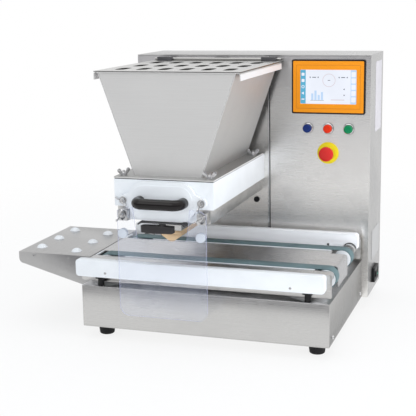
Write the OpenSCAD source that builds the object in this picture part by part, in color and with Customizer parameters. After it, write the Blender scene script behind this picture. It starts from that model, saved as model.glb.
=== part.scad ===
// Tabletop cookie depositor: a hopper with two feed rollers above a lifting twin-belt tray conveyor.
// Machine axes: X along the conveyor, Y from front to back, Z up. X is measured from the middle of the
// base, Y from its front face and Z from the floor; the finished part is then centred over its own box.

/* [Base] */
// Width of the base
base_w = 652; // [620:2:720]
// Depth of the base, from its front face to the cabinet
base_d = 441; // [425:1:480]
// Height of the base housing, without its feet
base_h = 109; // [95:1:140]
// Thickness of the folded steel sheet
sheet = 2; // [1.5:0.5:3]
// Radius of the upright front edges of the base
base_edge_r = 4; // [3.5:0.5:8]
// Width of the folded rims that floor, panels and covers are screwed to
rim_w = 14; // [10:1:20]
// Diameter of a rubber foot at its top
foot_d = 46; // [40:1:56]
// Diameter of a rubber foot where it stands
foot_low_d = 39; // [32:1:40]
// Height of a rubber foot
foot_h = 34; // [24:1:44]
// Distance of the foot centres from the sides
foot_inset = 42; // [36:1:60]
// Distance of the foot centres from the front and the back
foot_setback = 58; // [40:1:80]
// Hole for a foot screw
foot_hole_d = 6.5; // [5:0.5:9]

/* [Cabinet] */
// Width of the folded hem round the cabinet's open sides
shell_hem = 5.5; // [5:0.5:8]
// Width of the cabinet
cab_w = 674; // [664:2:720]
// Depth of the cabinet
cab_d = 206; // [190:1:240]
// Height of the cabinet, without its feet
cab_h = 675; // [665:1:720]
// Distance of the cabinet's middle from the middle of the base
cab_shift = 6; // [0:1:12]
// Place of the seam between the head panel and the control panel
seam_x = 60.5; // [58:0.5:66]
// Gap of the panel seams
seam_gap = 0.8; // [0.4:0.2:1.6]
// Gap between the panels and the top
top_gap = 2; // [1:0.5:4]
// Length of a cooling slot in the rear cover
louvre_l = 90; // [60:1:120]
// Width of a cooling slot in the rear cover
louvre_w = 4; // [3:0.5:6]
// Distance between cooling slots
louvre_pitch = 12; // [9:1:16]
// Number of cooling slots in each block
louvre_count = 9; // [4:1:12]
// Cable passage between base and cabinet, width
cable_w = 90; // [40:1:160]
// Cable passage between base and cabinet, height
cable_h = 40; // [20:1:60]

/* [Touch screen] */
// Width of the screen's bezel
hmi_w = 203; // [180:1:220]
// Height of the screen's bezel
hmi_h = 148; // [130:1:156]
// Middle of the screen and the controls, from the middle of the base
hmi_x = 227.5; // [215:0.5:232]
// Drop from the cabinet's top to the middle of the screen
hmi_drop = 86; // [82:1:100]
// How far the bezel stands out of the panel
hmi_proud = 6; // [4:0.5:12]
// Corner radius of the bezel
hmi_r = 5; // [2:0.5:8]
// Width of the bare rim round the coloured front film
hmi_rim = 4; // [2:0.5:8]
// Thickness of the front film
film_t = 1; // [0.6:0.1:2]
// Width of the display window
window_w = 155; // [120:1:160]
// Height of the display window
window_h = 93; // [70:1:100]
// Thickness of the display behind the film
display_t = 3; // [2:0.5:5]
// Depth of the screen's housing behind the panel
hmi_body_d = 38; // [25:1:60]
// Step from the bezel to the housing that passes through the panel
hmi_step = 8; // [5:1:12]

/* [Buttons] */
// Distance between the push buttons
button_pitch = 57; // [50:1:60]
// Drop from the cabinet's top to the push buttons
button_drop = 200; // [190:1:210]
// Drop from the cabinet's top to the emergency stop
estop_drop = 268; // [258:1:290]
// Outer diameter of a button's ring
ring_d = 29.5; // [27:0.5:34]
// How far a button's ring stands out of the panel
ring_h = 6; // [5:0.5:10]
// Diameter of a button's cap
cap_d = 23; // [20:0.5:25]
// How far a button's cap stands out of the panel
cap_h = 17; // [14:0.5:20]
// Hole in the panel for a button's barrel
barrel_hole_d = 22.3; // [22:0.1:24]
// Length of a barrel behind the panel
barrel_l = 28; // [20:1:36]
// Diameter of a button's plunger
plunger_d = 12; // [8:0.5:15]
// Travel of a push button
button_travel = 4; // [2:0.5:4.5]
// Diameter of the yellow disc behind the emergency stop
disc_d = 60; // [50:1:70]
// Thickness of the yellow disc
disc_t = 1.5; // [1:0.5:3]
// Diameter of the emergency stop's mushroom
mushroom_d = 40; // [36:1:46]
// Height of the mushroom's head
mushroom_h = 18; // [14:1:22]
// Height of the emergency stop's collar
collar_h = 10; // [8:1:14]
// Travel of the emergency stop
estop_travel = 4; // [2:0.5:5]

/* [Power inlet] */
// Length of the power module along the cabinet's side
inlet_l = 67; // [60:1:80]
// Height of the power module
inlet_h = 42; // [38:1:60]
// How far the power module stands out
inlet_proud = 8; // [6:0.5:12]
// Depth of the power module behind the side wall
inlet_d = 30; // [24:1:40]
// Middle of the power module, from the cabinet's front
inlet_y = 105; // [95:1:120]
// Middle of the power module, above the cabinet's underside
inlet_z = 45; // [40:1:70]
// Width of the rocker
rocker_w = 13; // [10:1:16]
// Length of the rocker
rocker_l = 24; // [18:1:28]
// Tilt of the rocker at rest
rocker_tilt = 8; // [5:1:10]

/* [Feed head] */
// Middle of the head, from the middle of the base
head_x = -85; // [-90:1:-78]
// Width of the head block
head_w = 259; // [250:1:280]
// Height of the head block
block_h = 68; // [64:1:76]
// Room for a tray between the belts and the nozzles
tray_room = 59; // [45:1:75]
// How far the head block stands out over the base's front face
head_front = 20; // [10:1:30]
// Step from the block's side to the side of its lower neck
neck_side = 39.5; // [38.5:0.5:45]
// Height of the block's lower neck
neck_h = 33; // [28:1:36]
// Diameter of a feed roller
roller_d = 58; // [50:1:60]
// Gap between the two feed rollers
roller_gap = 4; // [3:0.5:6]
// Height of the roller axes above the underside of the block
roller_rise = 17; // [15:1:20]
// Running gap round a feed roller
roller_run = 0.6; // [0.4:0.1:1.5]
// Number of flutes on a feed roller
flute_count = 12; // [8:1:16]
// Diameter of a flute
flute_d = 9; // [6:0.5:11]
// Diameter of a roller shaft
shaft_d = 20; // [16:1:24]
// Wall behind the roller chamber
chamber_wall = 40; // [30:1:60]
// Radial clearance of shafts and pins in their bores
run_fit = 0.05; // [0.03:0.01:0.1]
// Width of the feed gears
gear_w = 20; // [14:1:26]
// Number of teeth on each feed gear
gear_teeth = 31; // [21:2:41]
// Play between the flanks of the feed gears
gear_play = 0.25; // [0.15:0.05:0.4]
// Width of a die rail
rail_w = 30; // [24:1:32]
// Wall of a die rail
rail_t = 4; // [3:0.5:6]
// Width of the nozzle bar
nozzle_w = 54; // [46:1:60]
// Height of the nozzle holder under the neck
holder_h = 35; // [28:1:40]
// Height of the nozzle bar's straight part
nozzle_side_h = 13; // [8:1:16]
// Height of the nozzle bar's wedge
nozzle_tip_h = 16; // [12:1:20]
// Number of nozzles
nozzle_count = 6; // [4:1:8]
// Bore of a nozzle
nozzle_d = 10; // [6:0.5:12]
// Width of the dough slot above the nozzles
dough_slot_w = 22; // [14:1:30]
// Distance of the nozzle bar from the head's front
nozzle_setback = 50; // [45:1:70]
// Drop of the tray sensor below the head's neck
sensor_drop = 30; // [20:1:40]

/* [Front cover] */
// Step from the block's side to the side of the rounded front cover
cover_side = 41.5; // [38:0.5:47]
// Height of the rounded front cover
cover_h = 98; // [94:1:100]
// Corner radius of the front cover
cover_r = 44; // [36:1:46]
// Thickness of the front cover
cover_t = 12; // [10:0.5:16]
// Height of the raised field on the cover
cover_relief = 1.5; // [0.5:0.5:2.5]
// Width of the rim round the raised field
cover_rim = 9; // [6:1:14]
// Distance of the cover's ears from the block's side
ear_side = 27.5; // [24:0.5:30]
// Radius of the cover's ears
ear_r = 13; // [11:1:15]
// Step from the cover's side to the end of the pull handle
handle_side = 18; // [14:1:26]
// Diameter of the pull handle's bar
handle_d = 27; // [22:1:30]
// Stand-off of the pull handle in front of the cover
handle_reach = 48; // [46:1:60]

/* [Wing nuts] */
// Diameter of the wing nut studs
stud_d = 6; // [5:0.5:8]
// Diameter of a wing nut's hub
wing_hub_d = 14; // [12:0.5:17]
// Height of a wing nut's hub
wing_hub_h = 9; // [7:0.5:12]
// Span of a wing nut
wing_span = 36; // [30:1:40]
// Height of a wing nut over its wings
wing_h = 18; // [15:1:22]
// Thickness of a wing
wing_t = 3.2; // [2.4:0.2:4]

/* [Clamp] */
// Step from the neck's side to the bend of the clamp strap
strap_side = 34; // [33:1:42]
// Width of the clamp strap
strap_w = 28; // [24:1:32]
// Reach of the clamp strap in front of the head block
strap_reach = 22; // [20:0.5:24]
// Thickness of the clamp strap
strap_t = 3; // [2:0.5:4]
// Length of the strap's bent ends
strap_bend = 9; // [6:1:12]
// Step from the strap's bend to the end of the clamp lever's grip
lever_side = 12; // [10:1:18]
// Height of the clamp lever's grip
lever_h = 20; // [16:1:22]
// Depth of the clamp lever's grip
lever_d = 18; // [14:1:20]
// Distance of the lever's hub from the middle of its grip
lever_hub_x = 13; // [8:1:16]
// Distance of the lever's axis in front of the head block
lever_front = 10; // [8:1:11]
// Gap between the clamp strap and the lever's grip
lever_gap = 6; // [4:0.5:8]
// Diameter of the clamp lever's hub
lever_hub_d = 18; // [14:1:18]

/* [Hopper] */
// Height of the hopper above its flange
hopper_h = 253; // [230:1:262]
// Step from the block's side to the inside of the hopper's bottom
hopper_side = 41.5; // [40.5:0.5:46]
// Inner width of the hopper at the top
hopper_top_w = 354; // [330:1:360]
// Distance of the hopper's back wall from the cabinet
hopper_gap = 36; // [32:1:44]
// Distance of the hopper's front wall from the head's front
hopper_setback = 34; // [32:1:38]
// Thickness of the hopper's flange
flange_t = 3; // [2:0.5:5]
// Thickness of the seal under the hopper's flange
gasket_t = 2; // [1:0.5:4]
// Width of the folded lips
lip_w = 11; // [8:1:14]
// Drop of the folded lips
lip_drop = 19; // [14:1:26]
// Distance of the hopper's studs from the block's side
hopper_stud_side = 16.5; // [12:0.5:18]
// Distance of the hopper's front studs from the head's front
hopper_stud_front = 24; // [20:1:26]
// Distance of the hopper's rear studs from the cabinet
hopper_stud_back = 59; // [50:1:70]

/* [Grid] */
// Number of slots across the grid
slot_columns = 6; // [4:1:6]
// Number of slots along the grid
slot_rows = 3; // [2:1:3]
// Distance of the outer slots from the hopper's sides
slot_side = 21; // [16:1:30]
// Distance of the outer slots from the hopper's front and back
slot_end = 44.5; // [30:0.5:50]
// Bar between two slots of a row
slot_bar_x = 30; // [20:1:34]
// Bar between two rows of slots
slot_bar_y = 52; // [30:1:60]
// Gap under the closed grid
grid_seat = 0.3; // [0.2:0.1:0.6]
// Diameter of the grid's hinge rod
rod_d = 8; // [6:0.5:10]
// Distance of the hinge axis from the cabinet's front
rod_gap = 17; // [16:0.5:18]
// Depth of a hinge block below the grid
hinge_drop = 18; // [15:1:22]
// Wall of a hinge block round the rod
hinge_wall = 2.5; // [2:0.5:4]
// Width of a hinge block
hinge_w = 40; // [30:1:46]
// Distance of the hinge blocks' middle from the hopper's side
hinge_side = 25; // [22:1:36]

/* [Guard] */
// Step from the block's side to the side of the clear guard
guard_side = 13.5; // [10:0.5:15]
// Underside of the guard above the floor
guard_z = 86; // [70:1:120]
// Thickness of the clear guard
guard_t = 4; // [3:0.5:6]
// Distance of the guard from the head block
guard_gap = 16; // [14:0.5:20]
// Corner radius of the guard
guard_r = 25; // [15:1:30]
// Distance of the guard's cut-out from its sides, at the top
cutout_side = 41; // [39:0.5:43]
// How much the cut-out narrows on each side towards the bottom
cutout_slope = 10; // [5:1:12]
// Drop from the block's underside to the bottom of the cut-out
cutout_drop = 77; // [74:1:90]
// Drop from the block's underside to the guard's studs
guard_stud_drop = 17; // [15:0.5:19]
// Distance of the guard's studs from its sides
guard_stud_side = 12; // [10:0.5:14]
// Diameter of the guard's buffers
buffer_d = 24; // [18:1:28]
// Drop from the block's underside to the guard's buffers
buffer_drop = 65; // [54:1:74]

/* [Conveyor] */
// Height of the belts above the base's deck
belt_rise = 65; // [60:1:80]
// Width of a belt
belt_w = 38; // [30:1:44]
// Thickness of a belt
belt_t = 2; // [1.5:0.5:3]
// Diameter of a belt pulley
pulley_d = 46; // [42:1:46]
// Gap between belt and pulley
belt_gap = 0.3; // [0.3:0.05:0.5]
// Distance of the front belt's middle from the front rail
belt_front_gap = 79; // [70:1:90]
// Distance of the rear belt's middle from the rear rail
belt_back_gap = 89; // [84:1:100]
// Distance of the drive shaft from the base's right side
drive_inset = 26; // [26:1:34]
// Distance of the idle shaft from the base's left side
idle_inset = 36; // [34:1:50]
// Diameter of the belt shafts
belt_shaft_d = 16; // [12:1:16]
// How far the front rail stands out past the base on the left
rail_over = 15; // [8:1:24]
// Distance of the front rail's right end from the base's right side
rail_inset = 12; // [6:1:16]
// Height of a rail
rail_h = 45; // [40:1:48]
// Thickness of a rail
rail_d = 24; // [20:1:26]
// Corner radius of a rail
rail_r = 9; // [4:1:12]
// Height of the front rail's top above the belts
front_rail_rise = 4; // [0:1:8]
// Height of the rear rail's top above the belts
rear_rail_rise = 18; // [14:1:22]
// Gap between the rear rail and the cabinet
rear_rail_gap = 25; // [23:1:31]
// Thickness of the conveyor's side plates
plate_t = 3; // [2:0.5:4]
// Lower edge of the side plates above the deck
plate_gap = 8; // [5:1:12]
// Gap between belts and bed
bed_gap = 1; // [0.5:0.1:2]
// How far the bed reaches past the idle shaft
bed_over_left = 35; // [28:1:36]
// How far the bed reaches past the drive shaft
bed_over_right = 21; // [20:0.5:24]
// Radius of the bed's rolled ends
bed_end_r = 9; // [6:0.5:9]
// Step from the rear belt's middle to the bed's cut-out in front of it at the drive end
bed_clear = 52; // [30:1:60]
// Lift of the conveyor
lift_travel = 25; // [15:1:30]
// Distance of the left cross beam from the idle shaft
beam_left = 110; // [90:1:130]
// Distance of the right cross beam from the drive shaft
beam_right = 180; // [160:1:200]
// Step of the middle cross beam to the left of the conveyor's middle
beam_shift = 15; // [5:1:25]
// Distance of the bed's skirts from the idle shaft
skirt_left = 50; // [40:1:60]
// Distance of the bed's skirts from the drive shaft
skirt_right = 80; // [60:1:100]
// Distance of the left front post from the idle shaft
post_left = 14; // [10:1:20]
// Distance of the right front post from the drive shaft
post_right = 30; // [24:1:40]
// Step inwards from a front post to the rear post behind it
post_step = 40; // [30:1:50]
// Diameter of the lift posts
post_d = 16; // [12:0.5:18]
// Diameter of the lift rod
lift_rod_d = 14; // [10:1:18]

/* [Infeed table] */
// Length of the infeed table
table_l = 213; // [180:1:240]
// Front edge of the infeed table, from the base's front face
table_y = 66; // [55:1:76]
// Distance of the infeed table from the cabinet
table_gap = 61; // [50:1:80]
// Drop from the belts to the table's top
table_drop = 5; // [4:0.5:8]
// Height of a gusset at its nose
nose_h = 32; // [26:1:40]
// Nose radius of a gusset
nose_r = 14; // [8:1:16]
// Drop of the gussets on the base's side, below the deck
gusset_drop = 26; // [20:1:34]
// Diameter of a glide
glide_d = 29; // [22:1:34]
// Height of a glide above the belts
glide_rise = 4; // [2:0.5:6]
// Distance of the outer glides from the table's left edge
glide_left = 39; // [30:1:60]
// Distance of the inner glides from the base
glide_right = 61; // [40:1:70]
// Distance of the front glides from the table's front edge
glide_front = 43; // [30:1:55]
// Distance of the rear glides from the table's back edge
glide_back = 65; // [50:1:80]
// Step back of the outer glides behind the inner ones
glide_shift = 18; // [0:1:24]

/* [Control unit] */
// Width of the control unit inside the cabinet
unit_w = 182; // [150:1:190]
// Depth of the control unit
unit_d = 112; // [90:1:120]
// Height of the control unit
unit_h = 190; // [150:1:220]
// Number of modules on the unit's plate
unit_modules = 4; // [2:1:5]
// Gap between two modules
unit_gap = 8; // [5:1:12]
// Distance of the control unit from the power module
unit_side = 40; // [25:1:50]

/* [Hidden] */
$fn = 48;
eps = 0.01;
fit = 0.2;

steel = "lightsteelblue";
white_plastic = "white";
black_plastic = "dimgray";

// Heights above the floor
under_z = foot_h;
deck_z = under_z + base_h;
cab_top = under_z + cab_h;
belt_top = deck_z + belt_rise;

// Cabinet
panel_y = base_d;
cab_back = panel_y + cab_d;
cab_left = cab_shift - cab_w / 2;
cab_right = cab_shift + cab_w / 2;
shell_y = panel_y + sheet;
shell_back = cab_back - sheet;
panel_top = cab_top - sheet - top_gap;

// Screen and buttons
hmi_z = cab_top - hmi_drop;
button_z = cab_top - button_drop;
estop_z = cab_top - estop_drop;
hmi_front = panel_y - hmi_proud;
film_y = hmi_front + film_t + fit;
hmi_body_w = hmi_w - 2 * hmi_step;
hmi_body_h = hmi_h - 2 * hmi_step;
film_w = hmi_w - 2 * hmi_rim;
film_h = hmi_h - 2 * hmi_rim;
button_xs = [hmi_x - button_pitch, hmi_x, hmi_x + button_pitch];
barrel_d = barrel_hole_d - 2 * fit;
barrel_y = panel_y + barrel_l;
nut_d = barrel_d + 7;
nut_h = 5;
cap_back = panel_y - button_travel - 0.5;
plunger_back = barrel_y + 4;
contact_d = 40;
contact_w = 22;
contact_h = 44;
stem_d = 16;
collar_front = panel_y - disc_t - collar_h;
mushroom_back = collar_front - estop_travel - 0.5;
mushroom_front = mushroom_back - mushroom_h;
mushroom_wall = 6;

// Power inlet
inlet_cy = panel_y + inlet_y;
inlet_cz = under_z + inlet_z;
inlet_face = cab_right + inlet_proud;
inlet_wall = 4;
socket_l = 28;
socket_h = 20;
socket_deep = 22;
socket_y = inlet_cy - inlet_l / 2 + inlet_wall + socket_l / 2;
rocker_y = inlet_cy + inlet_l / 2 - inlet_wall - rocker_w / 2 - 1;
rocker_pin_d = 4;
rocker_x = inlet_face - 5;
well_deep = 18;

// Head
nozzle_z = belt_top + tray_room;
holder_z = nozzle_z + nozzle_tip_h + nozzle_side_h;
neck_z = holder_z + holder_h;
block_z = neck_z + neck_h;
block_top = block_z + block_h;
head_y = -head_front;
neck_w = head_w - 2 * neck_side;
roller_z = block_z + roller_rise;
roller_pitch = roller_d + roller_gap;
roller_xs = [head_x - roller_pitch / 2, head_x + roller_pitch / 2];
chamber_d = roller_d + 2 * roller_run;
chamber_back = panel_y - chamber_wall;
roller_front = head_y + 22;
roller_back = chamber_back - 3;
cover_w = head_w - 2 * cover_side;
cover_y = head_y - cover_t;
cover_z = roller_z;
ear_x = head_w / 2 - ear_side;
handle_l = cover_w - 2 * handle_side;
strap_l = neck_w - 2 * strap_side;
lever_l = strap_l - 2 * lever_side;
journal_deep = 8;
gear_y = shell_y + 18;
gear_module = roller_pitch / gear_teeth;
motor_y = gear_y + gear_w + 14;
gearbox_w = 90;
gearbox_d = 60;
motor_d = 70;
motor_back = shell_back - 12;
shaft_back = motor_y + 28;
pillar_d = 10;
pillar_inset = 8;
nozzle_y = head_y + nozzle_setback;
nozzle_back = chamber_back - 6;
trough_wall = 8;
bar_top = holder_z - nozzle_side_h + 3;
die_rail_x = head_w / 2 - 8;
sensor_d = 12;
sensor_l = 50;
sensor_x = head_x + head_w / 2 - 22;
sensor_z = neck_z - sensor_drop;

// Hopper
gasket_z = block_top;
flange_z = gasket_z + gasket_t;
hopper_z = flange_z + flange_t;
hopper_top = hopper_z + hopper_h;
hopper_y = head_y + hopper_setback;
hopper_back = panel_y - hopper_gap;
hopper_l = hopper_back - hopper_y;
hopper_bottom_w = head_w - 2 * hopper_side;
hopper_stud_x = head_w / 2 - hopper_stud_side;
flange_back = panel_y - 10;
flange_w = head_w + 3;
hopper_lip_x = hopper_top_w / 2 + sheet + lip_w;
stud_ys = [head_y + hopper_stud_front, panel_y - hopper_stud_back];
throat_w = hopper_bottom_w - 6;
hinge_x = hopper_top_w / 2 - hinge_side;
hem_w = 5;
hem_x = hinge_x - hinge_w / 2 - 1;

// Grid and its hinge
grid_t = 2;
grid_z = hopper_top + sheet + grid_seat;
rod_y_axis = panel_y - rod_gap;
rod_z_axis = grid_z + grid_t + rod_d / 2 - 0.3;
rod_over = 12;
rod_l = 2 * hinge_x + hinge_w + 2 * rod_over;
slot_w = (hopper_top_w - 2 * slot_side - (slot_columns - 1) * slot_bar_x) / slot_columns;
slot_l = (hopper_l - 2 * slot_end - (slot_rows - 1) * slot_bar_y) / slot_rows;
grid_sensor_w = 40;
grid_sensor_h = 14;
hinge_top = rod_z_axis + rod_d / 2 + hinge_wall;
hinge_low = grid_z - hinge_drop;
grid_back = rod_y_axis + 5;
grid_front = hopper_y - 2;

// Guard
guard_back = head_y - guard_gap;
guard_front = guard_back - guard_t;
guard_w = head_w - 2 * guard_side;
guard_stud_x = guard_w / 2 - guard_stud_side;
guard_stud_z = block_z - guard_stud_drop;
guard_top = guard_stud_z + 19;
cutout_top_w = guard_w - 2 * cutout_side;
cutout_low_w = cutout_top_w - 2 * cutout_slope;
cutout_z = block_z - cutout_drop;
buffer_z = block_z - buffer_drop;
bracket_in = neck_w / 2 + 1;
bracket_out = guard_stud_x + guard_stud_side;
bracket_low = guard_stud_z - 17;
bracket_high = guard_stud_z + 10;

// Conveyor
axis_r = pulley_d / 2 + belt_gap + belt_t;
axis_z = belt_top - axis_r;
drive_x = base_w / 2 - drive_inset;
idle_x = idle_inset - base_w / 2;
rear_rail_y = base_d - rear_rail_gap - rail_d;
belt_ys = [rail_d + belt_front_gap, rear_rail_y - belt_back_gap];
rail_left = -base_w / 2 - rail_over;
rail_right = base_w / 2 - rail_inset;
front_rail_top = belt_top + front_rail_rise;
rear_rail_top = belt_top + rear_rail_rise;
plate_y = rail_d;
plate_left = rail_left + 6;
plate_right = base_w / 2;
plate_low = deck_z + plate_gap;
plate_top = front_rail_top - 1;
rear_plate_y = rear_rail_y + rail_d;
rear_rail_right = rail_right + 8;
beam_low = axis_z - pulley_d / 2 + 3;
beam_h = 17;
beam_w = 24;
beam_xs = [idle_x + beam_left, (idle_x + drive_x) / 2 - beam_shift, drive_x - beam_right];
bed_top = belt_top - belt_t - bed_gap;
bed_front = plate_y + plate_t + 13;
bed_back = belt_ys[1] + belt_w / 2 + 7;
bed_left = idle_x - bed_over_left;
bed_right = drive_x + bed_over_right;
bed_joint = 0.05;
bed_side_left = idle_x + skirt_left;
bed_side_right = drive_x - skirt_right;
bearing_d = 32;
notch_r = bearing_d / 2 + 3;
front_bearing = 10;
rear_bearing = 40;
lane_w = belt_w + 12;
lane_l = pulley_d / 2;
front_post_y = rail_d * 0.56;
rear_post_y = rear_rail_y + rail_d / 2;
front_posts = [[idle_x + post_left, front_post_y], [drive_x - post_right, front_post_y]];
rear_posts = [[idle_x + post_left + post_step, rear_post_y],
    [drive_x - post_right - post_step, rear_post_y]];
post_low = under_z + 26;
collar_d = post_d + 8;
collar_l = 30;
gearbox2_w = 46;
gearbox2_l = 50;
belt_motor_d = 38;
belt_motor_l = 103;
gearbox2_y = (belt_ys[0] + belt_ys[1]) / 2;
lift_x = beam_xs[1];
lift_y = gearbox2_y;
lift_w = 90;
lift_h = 60;
lift_motor_l = 120;
lift_rod_low = under_z + 2 * sheet + 20;

// Table
table_right = -base_w / 2 - sheet;
table_left = table_right - table_l;
table_top = belt_top - table_drop;
table_back = base_d - table_gap;
nose_z = table_top - nose_h;
glide_xs = [table_left + glide_left, table_right - glide_right];
glide_y0 = table_y + glide_front;
glide_y1 = table_back - glide_back;
glide_ys = [glide_y0, (glide_y0 + glide_y1) / 2, glide_y1];
glide_spots = [for (i = [0, 1], y = glide_ys) [glide_xs[i], y + (1 - i) * glide_shift]];

// Middle of the finished part's box
box_x = (table_left + inlet_face) / 2;
box_y = (cover_y - cover_relief - handle_reach + cab_back) / 2;

// Placing helpers

module centred() translate([-box_x, -box_y, 0]) children();

// Solids between two planes: the flat outline is drawn in X-Z, Y-Z or X-Y
module slab_y(y0, y1) translate([0, y1, 0]) rotate([90, 0, 0]) linear_extrude(y1 - y0) children();
module slab_x(x0, x1) translate([x0, 0, 0]) rotate([90, 0, 90]) linear_extrude(x1 - x0) children();
module slab_z(z0, z1) translate([0, 0, z0]) linear_extrude(z1 - z0) children();

module block(x0, x1, y0, y1, z0, z1) translate([x0, y0, z0]) cube([x1 - x0, y1 - y0, z1 - z0]);

module rod_x(d, x0, x1, y, z) translate([x0, y, z]) rotate([0, 90, 0]) cylinder(d = d, h = x1 - x0);
module rod_y(d, y0, y1, x, z) translate([x, y0, z]) rotate([-90, 0, 0]) cylinder(d = d, h = y1 - y0);
module rod_z(d, z0, z1, x, y) translate([x, y, z0]) cylinder(d = d, h = z1 - z0);

// A turned profile whose axis points to the front
module turned_front(x, y, z) translate([x, y, z]) rotate([90, 0, 0]) rotate_extrude() children();

module span(u0, u1, v0, v1) translate([u0, v0]) square([u1 - u0, v1 - v0]);

module rounded(u0, u1, v0, v1, r) {
    span(u0 + r, u1 - r, v0, v1);
    span(u0, u1, v0 + r, v1 - r);
    for (u = [u0 + r, u1 - r], v = [v0 + r, v1 - r])
        translate([u, v]) circle(r);
}

module rounded_about(u, v, w, h, r) rounded(u - w / 2, u + w / 2, v - h / 2, v + h / 2, r);

// Base

module base_outline(inset) {
    r = base_edge_r - inset;
    span(-base_w / 2 + inset, base_w / 2 - inset, base_edge_r, base_d);
    span(-base_w / 2 + base_edge_r, base_w / 2 - base_edge_r, inset, 2 * base_edge_r);
    for (side = [-1, 1])
        translate([side * (base_w / 2 - base_edge_r), base_edge_r]) circle(r);
}

module at_posts() {
    for (p = concat(front_posts, rear_posts))
        translate([p[0], p[1], 0]) children();
}

module base_tray() color(steel) centred() {
    tray_z = under_z + sheet;
    difference() {
        union() {
            difference() {
                slab_z(tray_z, deck_z) base_outline(0);
                slab_z(tray_z - 1, deck_z - sheet) base_outline(sheet);
                block(-base_w / 2 + sheet, base_w / 2 - sheet, base_d - 1, base_d + 1,
                    tray_z - 1, deck_z - sheet);
            }
            slab_z(tray_z, tray_z + sheet) difference() {
                base_outline(sheet / 2);
                span(-base_w / 2 + rim_w, base_w / 2 - rim_w, rim_w, base_d + 1);
            }
            at_posts() translate([0, 0, deck_z - collar_l])
                cylinder(d = collar_d, h = collar_l - sheet / 2);
        }
        at_posts() translate([0, 0, deck_z - collar_l - 1])
            cylinder(d = post_d + 2 * run_fit, h = collar_l + 2);
        rod_z(lift_rod_d + 2, deck_z - 2 * sheet, deck_z + 1, lift_x, lift_y);
    }
}

module base_floor() color(steel) centred() difference() {
    slab_z(under_z, under_z + sheet) base_outline(0);
    for (side = [-1, 1])
        rod_z(foot_hole_d, under_z - 1, under_z + 2 * sheet, side * (base_w / 2 - foot_inset), foot_setback);
}

module foot() {
    recess_d = foot_low_d * 0.42;
    recess_h = foot_h * 0.4;
    low_r = foot_low_d / 2;
    top_r = foot_d / 2;
    difference() {
        rotate_extrude() polygon([
            [0, 0], [low_r - 2.5, 0], [low_r - 0.7, 0.8], [low_r, 2.8],
            [top_r - 0.6, foot_h - 5], [top_r, foot_h - 3], [top_r, foot_h], [0, foot_h]]);
        translate([0, 0, -1]) cylinder(d = recess_d, h = recess_h + 1);
        translate([0, 0, -1]) cylinder(d = foot_hole_d, h = foot_h + 2);
    }
}

module feet() color("black") centred() {
    for (side = [-1, 1]) {
        translate([side * (base_w / 2 - foot_inset), foot_setback, 0]) foot();
        translate([cab_shift + side * (cab_w / 2 - foot_inset), cab_back - foot_setback, 0]) foot();
    }
}

// Cabinet

module cabinet_shell() color(steel) centred() difference() {
    union() {
        difference() {
            block(cab_left, cab_right, shell_y, shell_back, under_z, cab_top);
            block(cab_left + sheet, cab_right - sheet, shell_y - 1, shell_back + 1,
                under_z + sheet, cab_top - sheet);
        }
        for (y = [shell_y, shell_back - sheet])
            slab_y(y, y + sheet) difference() {
                span(cab_left, cab_right, under_z, cab_top);
                span(cab_left + shell_hem, cab_right - shell_hem, under_z + shell_hem, cab_top - shell_hem);
            }
        block(cab_left, cab_right, panel_y, shell_y + 1, cab_top - sheet, cab_top);
    }
    slab_x(cab_right - 2 * sheet, cab_right + 1)
        rounded_about(inlet_cy, inlet_cz, inlet_l - 2 * inlet_wall + 1, inlet_h - 2 * inlet_wall + 1, 2);
    for (side = [-1, 1])
        rod_z(foot_hole_d, under_z - 1, under_z + 2 * sheet,
            cab_shift + side * (cab_w / 2 - foot_inset), cab_back - foot_setback);
}

module head_panel() color(steel) centred() slab_y(panel_y, shell_y) difference() {
    span(cab_left, seam_x - seam_gap / 2, under_z, panel_top);
    for (x = roller_xs)
        translate([x, roller_z]) circle(d = shaft_d + 4);
    translate([sensor_x, sensor_z]) circle(d = sensor_d + 2 * fit);
    span(-cable_w / 2, cable_w / 2, under_z + rim_w, under_z + rim_w + cable_h);
}

module control_panel() color(steel) centred() slab_y(panel_y, shell_y) difference() {
    span(seam_x + seam_gap / 2, cab_right, under_z, panel_top);
    rounded_about(hmi_x, hmi_z, hmi_body_w + 1, hmi_body_h + 1, 2);
    for (x = button_xs)
        translate([x, button_z]) circle(d = barrel_hole_d);
    translate([hmi_x, estop_z]) circle(d = barrel_hole_d);
}

module rear_cover() color(steel) centred() slab_y(shell_back, cab_back) difference() {
    span(cab_left, cab_right, under_z, cab_top);
    for (side = [-1, 1], level = [0.25, 0.75], i = [0 : louvre_count - 1])
        rounded_about(cab_shift + side * cab_w / 4,
            under_z + cab_h * level + (i - (louvre_count - 1) / 2) * louvre_pitch,
            louvre_l, louvre_w, louvre_w / 2 - eps);
}

// Touch screen

module touchscreen_housing() color("black") centred() difference() {
    union() {
        slab_y(hmi_front, panel_y) rounded_about(hmi_x, hmi_z, hmi_w, hmi_h, hmi_r);
        slab_y(panel_y - 1, panel_y + hmi_body_d) rounded_about(hmi_x, hmi_z, hmi_body_w, hmi_body_h, 2);
    }
    slab_y(hmi_front - 1, film_y)
        rounded_about(hmi_x, hmi_z, film_w + 2 * fit, film_h + 2 * fit, hmi_r / 2);
    slab_y(film_y - 1, film_y + display_t)
        span(hmi_x - window_w / 2 - 1 - fit, hmi_x + window_w / 2 + 1 + fit,
            hmi_z - window_h / 2 - 1 - fit, hmi_z + window_h / 2 + 1 + fit);
}

module touchscreen_film() color("orange") centred() slab_y(film_y - film_t, film_y) difference() {
    rounded_about(hmi_x, hmi_z, film_w, film_h, hmi_r / 2);
    rounded_about(hmi_x, hmi_z, window_w, window_h, 2);
}

module display() color("lightblue") centred() slab_y(film_y, film_y + display_t)
    span(hmi_x - window_w / 2 - 1, hmi_x + window_w / 2 + 1,
        hmi_z - window_h / 2 - 1, hmi_z + window_h / 2 + 1);

// Buttons

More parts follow.
